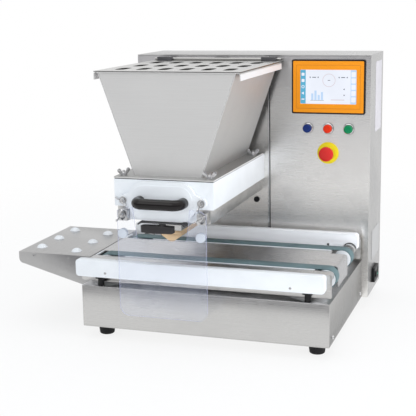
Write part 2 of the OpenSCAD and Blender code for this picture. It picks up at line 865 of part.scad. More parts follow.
// A ring in front of the panel, its barrel through the panel and its nut behind
module collar(x, z, seat_y, height, bore_d, recess_d) {
    difference() {
        union() {
            turned_front(x, seat_y, z) polygon([
                [0, 0], [ring_d / 2, 0], [ring_d / 2, height - 1.5],
                [ring_d / 2 - 1.5, height], [0, height]]);
            rod_y(barrel_d, seat_y - 1, barrel_y, x, z);
            translate([x, shell_y, z]) rotate([-90, 0, 0]) cylinder(d = nut_d, h = nut_h, $fn = 6);
        }
        rod_y(bore_d + 2 * run_fit, seat_y - height - 1, barrel_y + 1, x, z);
        rod_y(recess_d, seat_y - height - 1, seat_y, x, z);
    }
}

module button_collars() color("black") centred() {
    for (x = button_xs)
        collar(x, button_z, panel_y, ring_h, plunger_d, cap_d + 0.8);
    collar(hmi_x, estop_z, panel_y - disc_t, collar_h, stem_d, stem_d + 2);
}

module button(x) {
    turned_front(x, cap_back, button_z) {
        top = cap_back - panel_y + cap_h;
        polygon([[0, 0], [cap_d / 2, 0], [cap_d / 2, top - 2], [cap_d / 2 - 2, top], [0, top]]);
    }
    rod_y(plunger_d, cap_back - 1, plunger_back, x, button_z);
}

module button_blue() color("blue") centred() button(button_xs[0]);
module button_red() color("red") centred() button(button_xs[1]);
module button_green() color("green") centred() button(button_xs[2]);

module contact_blocks() color("ivory") centred() {
    for (p = [for (x = button_xs) [x, button_z, plunger_d], [hmi_x, estop_z, stem_d]])
        difference() {
            block(p[0] - contact_w / 2, p[0] + contact_w / 2, barrel_y, barrel_y + contact_d,
                p[1] - contact_h / 2, p[1] + contact_h / 2);
            rod_y(p[2] + 1, barrel_y - 1, barrel_y + 12, p[0], p[1]);
        }
}

module estop_disc() color("yellow") centred() slab_y(panel_y - disc_t, panel_y) difference() {
    translate([hmi_x, estop_z]) circle(d = disc_d);
    translate([hmi_x, estop_z]) circle(d = barrel_hole_d);
}

module estop_stem() color(black_plastic) centred()
    rod_y(stem_d, mushroom_front + mushroom_wall, plunger_back, hmi_x, estop_z);

module estop_mushroom() color("red") centred() difference() {
    turned_front(hmi_x, mushroom_back, estop_z) {
        r = mushroom_d / 2;
        neck_r = stem_d / 2 + 3;
        crown = 5;
        polygon([
            [0, 0], [neck_r, 0], [r - 3, mushroom_h * 0.25], [r, mushroom_h * 0.4],
            for (a = [0 : 15 : 75]) [r * cos(a), mushroom_h - crown + crown * sin(a)],
            [0, mushroom_h]
        ]);
    }
    rod_y(stem_d + 2 * run_fit, mushroom_front + mushroom_wall - fit, mushroom_back + 1, hmi_x, estop_z);
}

// Power inlet and tray sensor

module power_inlet() color("black") centred() difference() {
    union() {
        slab_x(cab_right, inlet_face) rounded_about(inlet_cy, inlet_cz, inlet_l, inlet_h, 4);
        slab_x(cab_right - inlet_d, cab_right + 1)
            rounded_about(inlet_cy, inlet_cz, inlet_l - 2 * inlet_wall, inlet_h - 2 * inlet_wall, 1.5);
    }
    difference() {
        slab_x(inlet_face - socket_deep, inlet_face + 1)
            rounded_about(socket_y, inlet_cz, socket_l, socket_h, 3);
        for (pin = [[-7, 2], [0, -3], [7, 2]])
            block(inlet_face - socket_deep - 1, inlet_face - 5, socket_y + pin[0] - 1, socket_y + pin[0] + 1,
                inlet_cz + pin[1] - 2, inlet_cz + pin[1] + 2);
    }
    block(inlet_face - well_deep, inlet_face + 1,
        rocker_y - rocker_w / 2 - 0.5, rocker_y + rocker_w / 2 + 0.5,
        inlet_cz - rocker_l / 2 - 1.5, inlet_cz + rocker_l / 2 + 1.5);
    rod_y(rocker_pin_d + 2 * run_fit, rocker_y - rocker_w / 2 - 2.5, rocker_y + rocker_w / 2 + 2.5,
        rocker_x, inlet_cz);
}

module power_rocker() color("green") centred() {
    translate([rocker_x, rocker_y, inlet_cz]) rotate([0, -rocker_tilt, 0])
        rotate([90, 0, 0]) translate([0, 0, -rocker_w / 2]) linear_extrude(rocker_w)
            polygon([[-8, 0], [-4, rocker_l / 2 - 4], [0.5, rocker_l / 2], [3, rocker_l / 2 - 1], [1.6, 0],
                [3, 1 - rocker_l / 2], [0.5, -rocker_l / 2], [-4, 4 - rocker_l / 2]]);
    rod_y(rocker_pin_d, rocker_y - rocker_w / 2 - 2, rocker_y + rocker_w / 2 + 2, rocker_x, inlet_cz);
}

// The sensor that sees a tray pass, under the right edge of the head
module tray_sensor() {
    head_l = 5;
    rod_y(sensor_d + 4, panel_y - head_l, panel_y, sensor_x, sensor_z);
    rod_y(sensor_d, panel_y - 1, panel_y + sensor_l - head_l, sensor_x, sensor_z);
    translate([sensor_x, shell_y, sensor_z]) rotate([-90, 0, 0]) cylinder(d = sensor_d + 7, h = 4, $fn = 6);
}

// The sensor that the closed grid reaches, on the head panel
module grid_sensor() slab_y(grid_back + 2, panel_y)
    rounded_about(head_x + 9, rod_z_axis - 2, grid_sensor_w, grid_sensor_h, 2);

module sensors() color("black") centred() {
    tray_sensor();
    grid_sensor();
}

// Feed head

module head_block() color(white_plastic) centred() difference() {
    union() {
        block(head_x - head_w / 2, head_x + head_w / 2, head_y, panel_y, block_z, block_top);
        block(head_x - neck_w / 2, head_x + neck_w / 2, head_y, panel_y, neck_z, block_z + 1);
    }
    // Roller chamber, throat, dough slot and shaft bores
    for (x = roller_xs) {
        rod_y(chamber_d, head_y - 1, chamber_back, x, roller_z);
        rod_y(shaft_d + 2 * run_fit, chamber_back - 1, panel_y + 1, x, roller_z);
    }
    block(roller_xs[0], roller_xs[1], head_y - 1, chamber_back,
        roller_z - chamber_d / 2, roller_z + chamber_d / 2);
    slab_y(hopper_y + 2 * sheet, chamber_back) polygon([
        [head_x - throat_w / 2, block_top + 1], [head_x + throat_w / 2, block_top + 1],
        [roller_xs[1] + roller_d / 3, roller_z], [roller_xs[0] - roller_d / 3, roller_z]]);
    block(head_x - dough_slot_w / 2, head_x + dough_slot_w / 2, nozzle_y + 8, nozzle_back - 8,
        neck_z - 1, roller_z);
    // Stud holes
    for (side = [-1, 1]) {
        rod_y(stud_d + 2 * run_fit, head_y - 1, head_y + 16, head_x + side * ear_x, cover_z);
        for (y = stud_ys)
            rod_z(stud_d + 2 * run_fit, block_top - 16, block_top + 1, head_x + side * hopper_stud_x, y);
    }
}

module die_rails() color(steel) centred() for (side = [0, 1])
    translate([head_x, 0, 0]) mirror([side, 0, 0]) difference() {
        union() {
            difference() {
                block(die_rail_x - rail_w, die_rail_x, head_y, panel_y, neck_z - 2, block_z);
                block(die_rail_x - rail_w - 1, die_rail_x - rail_t, head_y - 1, panel_y + 1,
                    neck_z - 2 + rail_t, block_z - rail_t);
            }
            block(bracket_in, die_rail_x, head_y, head_y + rail_t, neck_z - 2, block_z);
            block(bracket_in, bracket_out, guard_back, head_y + rail_t, bracket_low, bracket_high);
        }
        rod_y(stud_d + 2 * run_fit, guard_back - 1, head_y + rail_t + 1, guard_stud_x, guard_stud_z);
    }

module dough_slot()
    span(head_x - dough_slot_w / 2, head_x + dough_slot_w / 2,
        nozzle_y + trough_wall, nozzle_back - trough_wall);

module nozzle_holder() color(steel) centred() difference() {
    union() {
        block(head_x - nozzle_w / 2, head_x + nozzle_w / 2, nozzle_y, nozzle_back, holder_z, neck_z);
        block(head_x - nozzle_w / 2 - 9, head_x + nozzle_w / 2 + 9, nozzle_y, nozzle_back,
            neck_z - 5, neck_z);
    }
    slab_z(holder_z - 1, neck_z + 1) dough_slot();
}

// The trough spreads the dough over the nozzles of the bar under it
module nozzle_trough() color("wheat") centred() slab_z(bar_top, holder_z) difference() {
    span(head_x - nozzle_w / 2, head_x + nozzle_w / 2, nozzle_y, nozzle_back);
    dough_slot();
}

module nozzle_bar() color("wheat") centred() difference() {
    slab_y(nozzle_y, nozzle_back) polygon([
        [head_x - nozzle_w / 2, bar_top], [head_x + nozzle_w / 2, bar_top],
        [head_x + nozzle_w / 2, holder_z - nozzle_side_h], [head_x + 4, nozzle_z], [head_x - 4, nozzle_z],
        [head_x - nozzle_w / 2, holder_z - nozzle_side_h]]);
    pitch = (nozzle_back - nozzle_y) / nozzle_count;
    for (i = [0 : nozzle_count - 1])
        rod_z(nozzle_d, nozzle_z - 1, bar_top + 1, head_x, nozzle_y + (i + 0.5) * pitch);
}

// Front cover with its handle

module front_cover() color(white_plastic) centred() difference() {
    union() {
        slab_y(cover_y, head_y) {
            rounded_about(head_x, cover_z, cover_w, cover_h, cover_r);
            for (side = [-1, 1]) {
                translate([head_x + side * ear_x, cover_z]) circle(ear_r);
                translate([head_x, cover_z]) polygon([
                    [side * ear_x, ear_r], [side * (cover_w / 2 - ear_r), 2 * ear_r],
                    [side * (cover_w / 2 - ear_r), -2 * ear_r], [side * ear_x, -ear_r]]);
            }
        }
        slab_y(cover_y - cover_relief, cover_y + 1)
            rounded_about(head_x, cover_z, cover_w - 2 * cover_rim, cover_h - 2 * cover_rim,
                cover_r - cover_rim);
    }
    for (x = roller_xs)
        rod_y(shaft_d + 2 * run_fit, head_y - journal_deep, head_y + 1, x, roller_z);
    for (side = [-1, 1])
        rod_y(stud_d + 1, cover_y - 1, head_y + 1, head_x + side * ear_x, cover_z);
}

module pull_handle() color("black") centred() translate([head_x, cover_y - cover_relief, cover_z]) {
    r = handle_d / 2;
    bend = r + 5;
    leg_x = handle_l / 2 - r;
    leg_l = handle_reach - r - bend;
    for (side = [0, 1]) mirror([side, 0, 0]) {
        translate([leg_x, 0, 0]) rotate([90, 0, 0]) cylinder(r = r, h = leg_l);
        translate([leg_x - bend, -leg_l, 0]) rotate([0, 0, -90])
            rotate_extrude(angle = 90) translate([bend, 0]) circle(r);
    }
    translate([bend - leg_x, -leg_l - bend, 0]) rotate([0, 90, 0]) cylinder(r = r, h = 2 * (leg_x - bend));
}

module clamp_strap() color("black") centred() difference() {
    end = strap_l / 2;
    fall = strap_bend * cos(45);
    wall = strap_t * cos(45);
    inner = end - strap_t * tan(22.5);
    slab_y(head_y - strap_reach, head_y - strap_reach + strap_w) translate([head_x, neck_z]) polygon([
        [-end, 0], [end, 0], [end + fall, -fall], [end + fall - wall, -fall - wall], [inner, -strap_t],
        [-inner, -strap_t], [wall - fall - end, -fall - wall], [-end - fall, -fall]]);
    rod_z(stud_d + 2 + 2 * run_fit, neck_z - strap_t - 1, neck_z + 1, head_x, head_y - lever_front);
}

module clamp_lever() color("black") centred() translate([head_x, head_y - lever_front, 0]) {
    grip_top = neck_z - strap_t - lever_gap;
    rod_z(stud_d + 2, grip_top - lever_h / 2, neck_z - 0.5, 0, 0);
    translate([0, 0, grip_top - 1]) cylinder(d1 = lever_hub_d, d2 = lever_hub_d - 2, h = lever_gap + 0.5);
    translate([-lever_hub_x, 0, grip_top - lever_h / 2]) intersection() {
        slab_y(-lever_d / 2, lever_d / 2) polygon([
            [-lever_l / 2, -lever_h * 0.36], [-lever_l * 0.46, -lever_h * 0.42], [0, -lever_h / 2],
            [lever_l * 0.46, -lever_h * 0.42], [lever_l / 2, -lever_h * 0.36],
            [lever_l / 2, lever_h * 0.36], [lever_l * 0.46, lever_h * 0.42], [0, lever_h / 2],
            [-lever_l * 0.46, lever_h * 0.42], [-lever_l / 2, lever_h * 0.36]]);
        slab_z(-lever_h, lever_h) rounded_about(0, 0, lever_l, lever_d, lever_d / 2 - 1);
    }
}

// Feed rollers and their drive

module feed_roller(x, back) {
    difference() {
        rod_y(roller_d, roller_front, roller_back, x, roller_z);
        for (i = [0 : flute_count - 1])
            translate([x, 0, roller_z]) rotate([0, i * 360 / flute_count, 0])
                rod_y(flute_d, roller_front - 1, roller_back + 1, roller_d / 2, 0);
    }
    rod_y(shaft_d, head_y - journal_deep + 0.5, back, x, roller_z);
}

module feed_roller_left() color(steel) centred() feed_roller(roller_xs[0], shaft_back);
module feed_roller_right() color(steel) centred() feed_roller(roller_xs[1], gear_y + gear_w + 4);

// Involute spur gear: the flanks follow the involute of the base circle
function involute_r(base_r, t) = base_r * sqrt(1 + t * t);
function involute_a(t) = t * 180 / PI - atan(t);

module gear_outline() {
    pitch_r = gear_module * gear_teeth / 2;
    base_r = pitch_r * cos(20);
    tip_r = pitch_r + gear_module;
    root_r = pitch_r - 1.25 * gear_module;
    pitch_t = tan(20);
    tip_t = sqrt(pow(tip_r / base_r, 2) - 1);
    half_a = 90 / gear_teeth - gear_play / pitch_r * 90 / PI;
    steps = 4;
    flank = [for (i = [0 : steps]) let (t = tip_t * i / steps)
        [involute_r(base_r, t), half_a + involute_a(pitch_t) - involute_a(t)]];
    polygon([for (n = [0 : gear_teeth - 1]) let (a = n * 360 / gear_teeth) each concat(
        [[root_r * cos(a - flank[0][1]), root_r * sin(a - flank[0][1])]],
        [for (p = flank) [p[0] * cos(a - p[1]), p[0] * sin(a - p[1])]],
        [for (i = [steps : -1 : 0]) let (p = flank[i]) [p[0] * cos(a + p[1]), p[0] * sin(a + p[1])]],
        [[root_r * cos(a + flank[0][1]), root_r * sin(a + flank[0][1])]])]);
}

module gear(x) slab_y(gear_y, gear_y + gear_w) translate([x, roller_z]) difference() {
    gear_outline();
    circle(d = shaft_d + 2 * run_fit);
}

module drive_gear() color("goldenrod") centred() gear(roller_xs[0]);
module driven_gear() color("goldenrod") centred() gear(roller_xs[1]);

module feed_gearmotor() color("slategray") centred() translate([roller_xs[0], 0, roller_z]) {
    half = gearbox_w / 2;
    difference() {
        slab_y(motor_y, motor_y + gearbox_d) rounded_about(0, 0, gearbox_w, gearbox_w, 8);
        rod_y(shaft_d + 2 * run_fit, motor_y - 1, shaft_back + 2, 0, 0);
    }
    rod_y(motor_d, motor_y + gearbox_d - 1, motor_back, 0, 0);
    for (x = [pillar_inset - half, half - pillar_inset], z = [pillar_inset - half, half - pillar_inset])
        rod_y(pillar_d, shell_y, motor_y + 1, x, z);
}

// Hopper

module hopper_profile(inset) polygon([
    [head_x - hopper_bottom_w / 2 - sheet + inset, flange_z - (inset > 0 ? 1 : 0)],
    [head_x - hopper_bottom_w / 2 - sheet + inset, hopper_z],
    [head_x - hopper_top_w / 2 - sheet + inset, hopper_top + (inset > 0 ? eps : 0)],
    [head_x - hopper_top_w / 2 - sheet + inset, hopper_top + (inset > 0 ? 9 : sheet)],
    [head_x + hopper_top_w / 2 + sheet - inset, hopper_top + (inset > 0 ? 9 : sheet)],
    [head_x + hopper_top_w / 2 + sheet - inset, hopper_top + (inset > 0 ? eps : 0)],
    [head_x + hopper_bottom_w / 2 + sheet - inset, hopper_z],
    [head_x + hopper_bottom_w / 2 + sheet - inset, flange_z - (inset > 0 ? 1 : 0)]]);

module lip_profile(side) translate([head_x, hopper_top + sheet]) mirror([side, 0]) {
    x0 = hopper_top_w / 2 + sheet / 2;
    r = 5;
    difference() {
        union() {
            span(x0, hopper_lip_x - r, -sheet, 0);
            span(hopper_lip_x - sheet, hopper_lip_x, -lip_drop, -r);
            translate([hopper_lip_x - r, -r]) circle(r);
        }
        translate([hopper_lip_x - r, -r]) circle(r - sheet);
        span(x0 - 1, hopper_lip_x - r, -2 * r, -sheet);
        span(hopper_lip_x - 2 * r, hopper_lip_x - sheet, -2 * r, -r);
    }
}

module hopper() color(steel) centred() difference() {
    union() {
        slab_y(hopper_y, hopper_back) hopper_profile(0);
        slab_y(hopper_y, hopper_back) {
            lip_profile(0);
            lip_profile(1);
        }
        block(head_x - hopper_top_w / 2 - sheet, head_x + hopper_top_w / 2 + sheet,
            hopper_y - hem_w, hopper_y + 1, hopper_top, hopper_top + sheet);
        block(head_x - hem_x, head_x + hem_x,
            hopper_back - 1, hopper_back + hem_w, hopper_top, hopper_top + sheet);
        slab_z(flange_z, hopper_z)
            rounded(head_x - flange_w / 2, head_x + flange_w / 2, head_y - 1, flange_back, 4);
    }
    slab_y(hopper_y + sheet, hopper_back - sheet) hopper_profile(sheet);
    for (side = [-1, 1], y = stud_ys)
        rod_z(stud_d + 1, flange_z - 1, hopper_z + 1, head_x + side * hopper_stud_x, y);
}

module hopper_gasket() color("black") centred() slab_z(gasket_z, flange_z) difference() {
    rounded(head_x - head_w / 2, head_x + head_w / 2, head_y, flange_back, 4);
    span(head_x - hopper_bottom_w / 2, head_x + hopper_bottom_w / 2, hopper_y + sheet, hopper_back - sheet);
    for (side = [-1, 1], y = stud_ys)
        translate([head_x + side * hopper_stud_x, y]) circle(d = stud_d + 1);
}

module hopper_grid() color(steel) centred() {
    slot_mid_y = (hopper_y + hopper_back) / 2;
    slab_z(grid_z, grid_z + grid_t) difference() {
        rounded(head_x - hopper_lip_x, head_x + hopper_lip_x, grid_front, grid_back, 3);
        for (i = [0 : slot_columns - 1], j = [0 : slot_rows - 1])
            rounded_about(head_x + (i - (slot_columns - 1) / 2) * (slot_w + slot_bar_x),
                slot_mid_y + (j - (slot_rows - 1) / 2) * (slot_l + slot_bar_y),
                slot_w, slot_l, min(slot_w, slot_l) / 2 - 1);
        for (side = [-1, 1])
            span(head_x + side * hinge_x - hinge_w / 2 - 1, head_x + side * hinge_x + hinge_w / 2 + 1,
                hopper_back - 4, grid_back + 1);
    }
    rod_x(rod_d, head_x - rod_l / 2, head_x + rod_l / 2, rod_y_axis, rod_z_axis);
}

module hinge_blocks() color(black_plastic) centred() for (side = [-1, 1]) difference() {
    x = head_x + side * hinge_x;
    block(x - hinge_w / 2, x + hinge_w / 2, hopper_back, rod_y_axis + rod_d / 2 + hinge_wall,
        hinge_low, hinge_top);
    rod_x(rod_d + 2 * run_fit, x - hinge_w, x + hinge_w, rod_y_axis, rod_z_axis);
}

// Studs and wing nuts

module at_cover_studs() for ($side = [-1, 1])
    translate([head_x + $side * ear_x, cover_y, cover_z]) rotate([90, 0, 0]) children();
module at_guard_studs() for ($side = [-1, 1])
    translate([head_x + $side * guard_stud_x, guard_front, guard_stud_z]) rotate([90, 0, 0]) children();
module at_hopper_studs() for ($side = [-1, 1], y = stud_ys)
    translate([head_x + $side * hopper_stud_x, y, hopper_z]) children();

// A stud that stands out past its wing nut and reaches down into its seat
module stud(depth) translate([0, 0, -depth]) cylinder(d = stud_d, h = depth + wing_hub_h + 4);

module studs() color(steel) centred() {
    at_cover_studs() stud(cover_t + 15);
    at_guard_studs() stud(guard_t + guard_gap + rail_t);
    at_hopper_studs() stud(flange_t + gasket_t + 15);
}

module wing_nut() difference() {
    union() {
        cylinder(d1 = wing_hub_d, d2 = wing_hub_d - 3, h = wing_hub_h);
        for (side = [0, 1]) mirror([side, 0, 0])
            slab_y(-wing_t / 2, wing_t / 2) {
                tip_r = 5;
                polygon([[stud_d / 2 + 1, 1], [wing_hub_d / 2, 0.5], [wing_span / 2 - 1, wing_h - tip_r - 3],
                    [wing_span / 2 - 2 * tip_r + 1.5, wing_h - 2.5], [stud_d / 2 + 1, wing_hub_h - 1]]);
                translate([wing_span / 2 - tip_r, wing_h - tip_r]) circle(tip_r);
            }
    }
    translate([0, 0, -1]) cylinder(d = stud_d + 2 * run_fit, h = wing_h + 2);
}

module wing_nuts() color(steel) centred() {
    at_cover_studs() rotate($side < 0 ? -38 : 70) wing_nut();
    at_guard_studs() rotate($side < 0 ? 60 : 32) wing_nut();
    at_hopper_studs() rotate($side < 0 ? 55 : 12) wing_nut();
}

// Guard

module guard_sheet() color("azure", 0.4) centred() slab_y(guard_front, guard_back) difference() {
    union() {
        rounded_about(head_x, (guard_z + guard_top) / 2, guard_w, guard_top - guard_z, guard_r);
        span(head_x - guard_w / 2, head_x + guard_w / 2, cutout_z, guard_top - 10);
    }
    polygon([[head_x - cutout_top_w / 2, guard_top + 1], [head_x + cutout_top_w / 2, guard_top + 1],
        [head_x + cutout_low_w / 2, cutout_z], [head_x - cutout_low_w / 2, cutout_z]]);
    for (side = [-1, 1]) {
        translate([head_x + side * guard_stud_x, guard_stud_z]) circle(d = stud_d + 1);
        translate([head_x + side * ear_x, buffer_z]) circle(d = buffer_d / 2);
    }
}

module guard_buffers() color(white_plastic) centred() for (side = [-1, 1]) {
    x = head_x + side * ear_x;
    rod_y(buffer_d, guard_front - 5, guard_front, x, buffer_z);
    rod_y(buffer_d / 2 - 2 * run_fit, guard_front - 1, guard_back + 1, x, buffer_z);
    rod_y(buffer_d, guard_back, guard_back + 4, x, buffer_z);
}

// Conveyor

module at_shafts() for (x = [idle_x, drive_x]) translate([x, 0, axis_z]) children();

module side_plate(y) slab_y(y, y + plate_t)
    rounded(plate_left, plate_right, plate_low, plate_top, 5);

module conveyor_frame() color(steel) centred() difference() {
    union() {
        side_plate(plate_y);
        side_plate(rear_plate_y);
        for (x = beam_xs)
            block(x - beam_w / 2, x + beam_w / 2, plate_y + 1, rear_plate_y + 1, beam_low, beam_low + beam_h);
        at_shafts() {
            rod_y(bearing_d, plate_y + 1, plate_y + plate_t + front_bearing, 0, 0);
            rod_y(bearing_d, rear_plate_y - rear_bearing, rear_plate_y + 1, 0, 0);
        }
    }
    at_shafts() rod_y(belt_shaft_d + 2 * run_fit, plate_y - 1, rear_plate_y + plate_t + 1, 0, 0);
}

module front_rail() color(white_plastic) centred() slab_y(0, rail_d)
    rounded(rail_left, rail_right, front_rail_top - rail_h, front_rail_top, rail_r);

module rear_rail() color(white_plastic) centred() slab_y(rear_rail_y, rear_plate_y) difference() {
    rounded(rail_left + 8, rear_rail_right, rear_rail_top - rail_h, rear_rail_top, rail_r);
    for (x = [idle_x, drive_x])
        translate([x, axis_z]) circle(notch_r);
    for (x = beam_xs)
        span(x - beam_w / 2 - 1, x + beam_w / 2 + 1, beam_low - 1, beam_low + beam_h + 1);
}

// Upright outline of a rolled end of the bed, down to a low edge
module rolled_end(low) difference() {
    intersection() {
        rounded(bed_left, bed_right, low - 3 * bed_end_r, bed_top, bed_end_r);
        span(bed_right - bed_end_r + bed_joint, bed_right + 1, low, bed_top + 1);
    }
    rounded(bed_left, bed_right - sheet, low - 3 * bed_end_r, bed_top - sheet, bed_end_r - sheet);
}

module slider_bed() color(steel) centred() {
    front_lane = [belt_ys[0] - lane_w / 2, belt_ys[0] + lane_w / 2];
    rear_lane = belt_ys[1] - lane_w / 2;
    rear_clear = belt_ys[1] - bed_clear;
    slab_z(bed_top - sheet, bed_top) difference() {
        span(bed_left, bed_right - bed_end_r, bed_front, bed_back);
        span(bed_left - 1, idle_x + lane_l, front_lane[0], front_lane[1]);
        span(bed_left - 1, idle_x + lane_l, rear_lane, bed_back + 1);
        span(drive_x - lane_l, bed_right, front_lane[0], front_lane[1]);
        span(drive_x - lane_l, bed_right, rear_clear, bed_back + 1);
    }
    // Skirts that stand on the cross beams
    for (y = [bed_front, bed_back - sheet])
        block(bed_side_left, bed_side_right, y, y + sheet, beam_low + beam_h, bed_top - sheet - bed_joint);
    // Rolled ends beside and between the belts
    slab_y(bed_front, front_lane[0]) rolled_end(axis_z + belt_shaft_d / 2);
    slab_y(front_lane[1], rear_clear) rolled_end(plate_low);
}

module belt_loop(r) {
    span(idle_x, drive_x, axis_z - r, axis_z + r);
    for (x = [idle_x, drive_x])
        translate([x, axis_z]) circle(r);
}

module belt(y) slab_y(y - belt_w / 2, y + belt_w / 2) difference() {
    belt_loop(axis_r);
    belt_loop(axis_r - belt_t);
}

module belt_front() color("cadetblue") centred() belt(belt_ys[0]);
module belt_rear() color("cadetblue") centred() belt(belt_ys[1]);

module belt_shaft(x) rod_y(belt_shaft_d, plate_y, rear_plate_y + plate_t, x, axis_z);

module pulley_pair(x) for (y = belt_ys) difference() {
    union() {
        rod_y(pulley_d, y - belt_w / 2 - 1, y + belt_w / 2 + 1, x, axis_z);
        rod_y(belt_shaft_d + 12, y - belt_w / 2 - 5, y + belt_w / 2 + 5, x, axis_z);
    }
    rod_y(belt_shaft_d + 2 * run_fit, y - belt_w, y + belt_w, x, axis_z);
}

module drive_shaft() color(steel) centred() belt_shaft(drive_x);
module idle_shaft() color(steel) centred() belt_shaft(idle_x);
module drive_pulleys() color(white_plastic) centred() pulley_pair(drive_x);
module idle_pulleys() color(white_plastic) centred() pulley_pair(idle_x);

module belt_gearmotor() color("slategray") centred() difference() {
    right = bed_right - bed_end_r - 1;
    union() {
        block(right - gearbox2_l, right, gearbox2_y - gearbox2_w / 2, gearbox2_y + gearbox2_w / 2,
            axis_z - gearbox2_w / 2 + 3, bed_top - sheet);
        rod_x(belt_motor_d, right - gearbox2_l - belt_motor_l, right - gearbox2_l + 1, gearbox2_y, axis_z);
    }
    rod_y(belt_shaft_d + 2 * run_fit, gearbox2_y - gearbox2_w, gearbox2_y + gearbox2_w, drive_x, axis_z);
}

module lift_post(p, top) {
    rod_z(post_d, post_low, top, p[0], p[1]);
    block(p[0] - post_d * 0.75, p[0] + post_d * 0.75, p[1] - post_d / 2, p[1] + post_d / 2, top - 5, top);
}

module lift_posts() color("black") centred() {
    for (p = front_posts) lift_post(p, front_rail_top - rail_h);
    for (p = rear_posts) lift_post(p, rear_rail_top - rail_h);
}

module lift_rod() color(steel) centred() {
    rod_z(lift_rod_d, lift_rod_low, beam_low, lift_x, lift_y);
    rod_z(lift_rod_d + 10, beam_low - 5, beam_low, lift_x, lift_y);
}

module lift_actuator() color("slategray") centred() difference() {
    union() {
        block(lift_x - lift_w / 2, lift_x + lift_w / 2, lift_y - lift_w / 2, lift_y + lift_w / 2,
            under_z + sheet, under_z + sheet + lift_h);
        rod_x(lift_h - 8, lift_x + lift_w / 2 - 1, lift_x + lift_w / 2 + lift_motor_l,
            lift_y, under_z + sheet + lift_h / 2);
        rod_z(lift_rod_d + 16, under_z + sheet + lift_h - 1, deck_z - sheet - 6, lift_x, lift_y);
    }
    rod_z(lift_rod_d + 2 * run_fit, lift_rod_low - 2, deck_z, lift_x, lift_y);
}

// Infeed table

module gusset_outline() {
    slope_z = deck_z - gusset_drop;
    polygon([[table_left, table_top], [table_right, table_top], [table_right, slope_z],
        [table_left + nose_r, nose_z], [table_left, nose_z + nose_r]]);
    intersection() {
        translate([table_left + nose_r, nose_z + nose_r]) circle(nose_r);
        span(table_left, table_left + nose_r, nose_z, nose_z + nose_r);
    }
}

module infeed_table() color(steel) centred() {
    slab_z(table_top - sheet, table_top) span(table_left, table_right, table_y, table_back);
    for (y = [table_y, table_back - sheet])
        slab_y(y, y + sheet) gusset_outline();
    block(table_right - eps, table_right + sheet, table_y, table_back, deck_z - gusset_drop, deck_z - 2);
    block(table_right - sheet, table_right, table_y, table_back, deck_z - gusset_drop, table_top);
}

module table_glides() color(white_plastic) centred() {
    h = table_drop + glide_rise;
    r = glide_d / 2;
    ball_r = (r * r + h * h) / (2 * h);
    for (spot = glide_spots)
        translate([spot[0], spot[1], table_top])
            intersection() {
                translate([0, 0, h - ball_r]) sphere(ball_r);
                cylinder(r = r + 1, h = h + 1);
            }
}

// Control unit inside the cabinet: modules with rows of terminals on a bent plate

module control_unit() color("lightgray") centred() {
    x1 = cab_right - inlet_d - unit_side;
    x0 = x1 - unit_w;
    y1 = shell_back - 30;
    y0 = y1 - unit_d;
    z0 = under_z + sheet;
    foot_l = unit_d / 3;
    module_w = (unit_w - (unit_modules + 1) * unit_gap) / unit_modules;
    block(x0, x1, y1 - sheet, y1, z0, z0 + unit_h);
    block(x0, x1, y1 - foot_l, y1, z0, z0 + sheet);
    for (i = [0 : unit_modules - 1]) {
        x = x0 + unit_gap + i * (module_w + unit_gap);
        block(x, x + module_w, y0 + 10, y1 - sheet + eps, z0 + unit_h * 0.25, z0 + unit_h - 10);
        for (n = [0.35, 0.75])
            block(x + 4, x + module_w - 4, y0, y0 + 11, z0 + unit_h * n, z0 + unit_h * (n + 0.1));
    }
}

base_tray();
base_floor();
feet();
cabinet_shell();
head_panel();
control_panel();
rear_cover();
touchscreen_housing();
touchscreen_film();
display();
button_collars();
button_blue();
button_red();
button_green();
contact_blocks();
estop_disc();
estop_stem();
estop_mushroom();
power_inlet();
power_rocker();
sensors();
head_block();
die_rails();
nozzle_holder();
nozzle_trough();
nozzle_bar();
front_cover();
pull_handle();
clamp_strap();
clamp_lever();
feed_roller_left();
feed_roller_right();
drive_gear();
driven_gear();
feed_gearmotor();
hopper();
hopper_gasket();
hopper_grid();
hinge_blocks();
studs();
wing_nuts();
guard_sheet();
guard_buffers();
conveyor_frame();
front_rail();
rear_rail();
slider_bed();
belt_front();
belt_rear();
drive_shaft();
drive_pulleys();
idle_shaft();
idle_pulleys();
belt_gearmotor();
lift_posts();
lift_rod();
lift_actuator();
infeed_table();
table_glides();
control_unit();
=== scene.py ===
"""Looks of a tabletop cookie depositor: materials, small fittings, screen picture, studio and camera."""
import math

import bmesh
import bpy
from mathutils import Matrix, Vector


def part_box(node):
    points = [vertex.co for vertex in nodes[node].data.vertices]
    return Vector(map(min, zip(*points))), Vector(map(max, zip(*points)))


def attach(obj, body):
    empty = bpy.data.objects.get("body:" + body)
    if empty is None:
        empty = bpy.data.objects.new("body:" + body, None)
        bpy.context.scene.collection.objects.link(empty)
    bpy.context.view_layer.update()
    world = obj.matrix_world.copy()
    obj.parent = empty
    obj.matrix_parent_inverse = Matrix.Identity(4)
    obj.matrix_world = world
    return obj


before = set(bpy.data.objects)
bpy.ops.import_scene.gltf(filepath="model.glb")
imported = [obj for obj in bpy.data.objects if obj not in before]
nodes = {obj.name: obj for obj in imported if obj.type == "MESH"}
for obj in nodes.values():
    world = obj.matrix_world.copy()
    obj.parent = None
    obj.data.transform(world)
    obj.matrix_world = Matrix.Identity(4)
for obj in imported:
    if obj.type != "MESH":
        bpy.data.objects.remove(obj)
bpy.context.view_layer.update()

MM = 0.001
# Middle of the model's box, in the machine's own axes: X from the base's middle, Y from its front face
BOX_X, BOX_Y = -95.0, 282.75
# Middle of the head and of the hopper on it
HEAD_X = -85.0
LEFT, RIGHT, FRONT, BACK, UP = (-1, 0, 0), (1, 0, 0), (0, -1, 0), (0, 1, 0), (0, 0, 1)


def at(x, y, z):
    """A point given in machine millimetres, in the model's metres."""
    return Vector(((x - BOX_X) * MM, (y - BOX_Y) * MM, z * MM))


# Camera

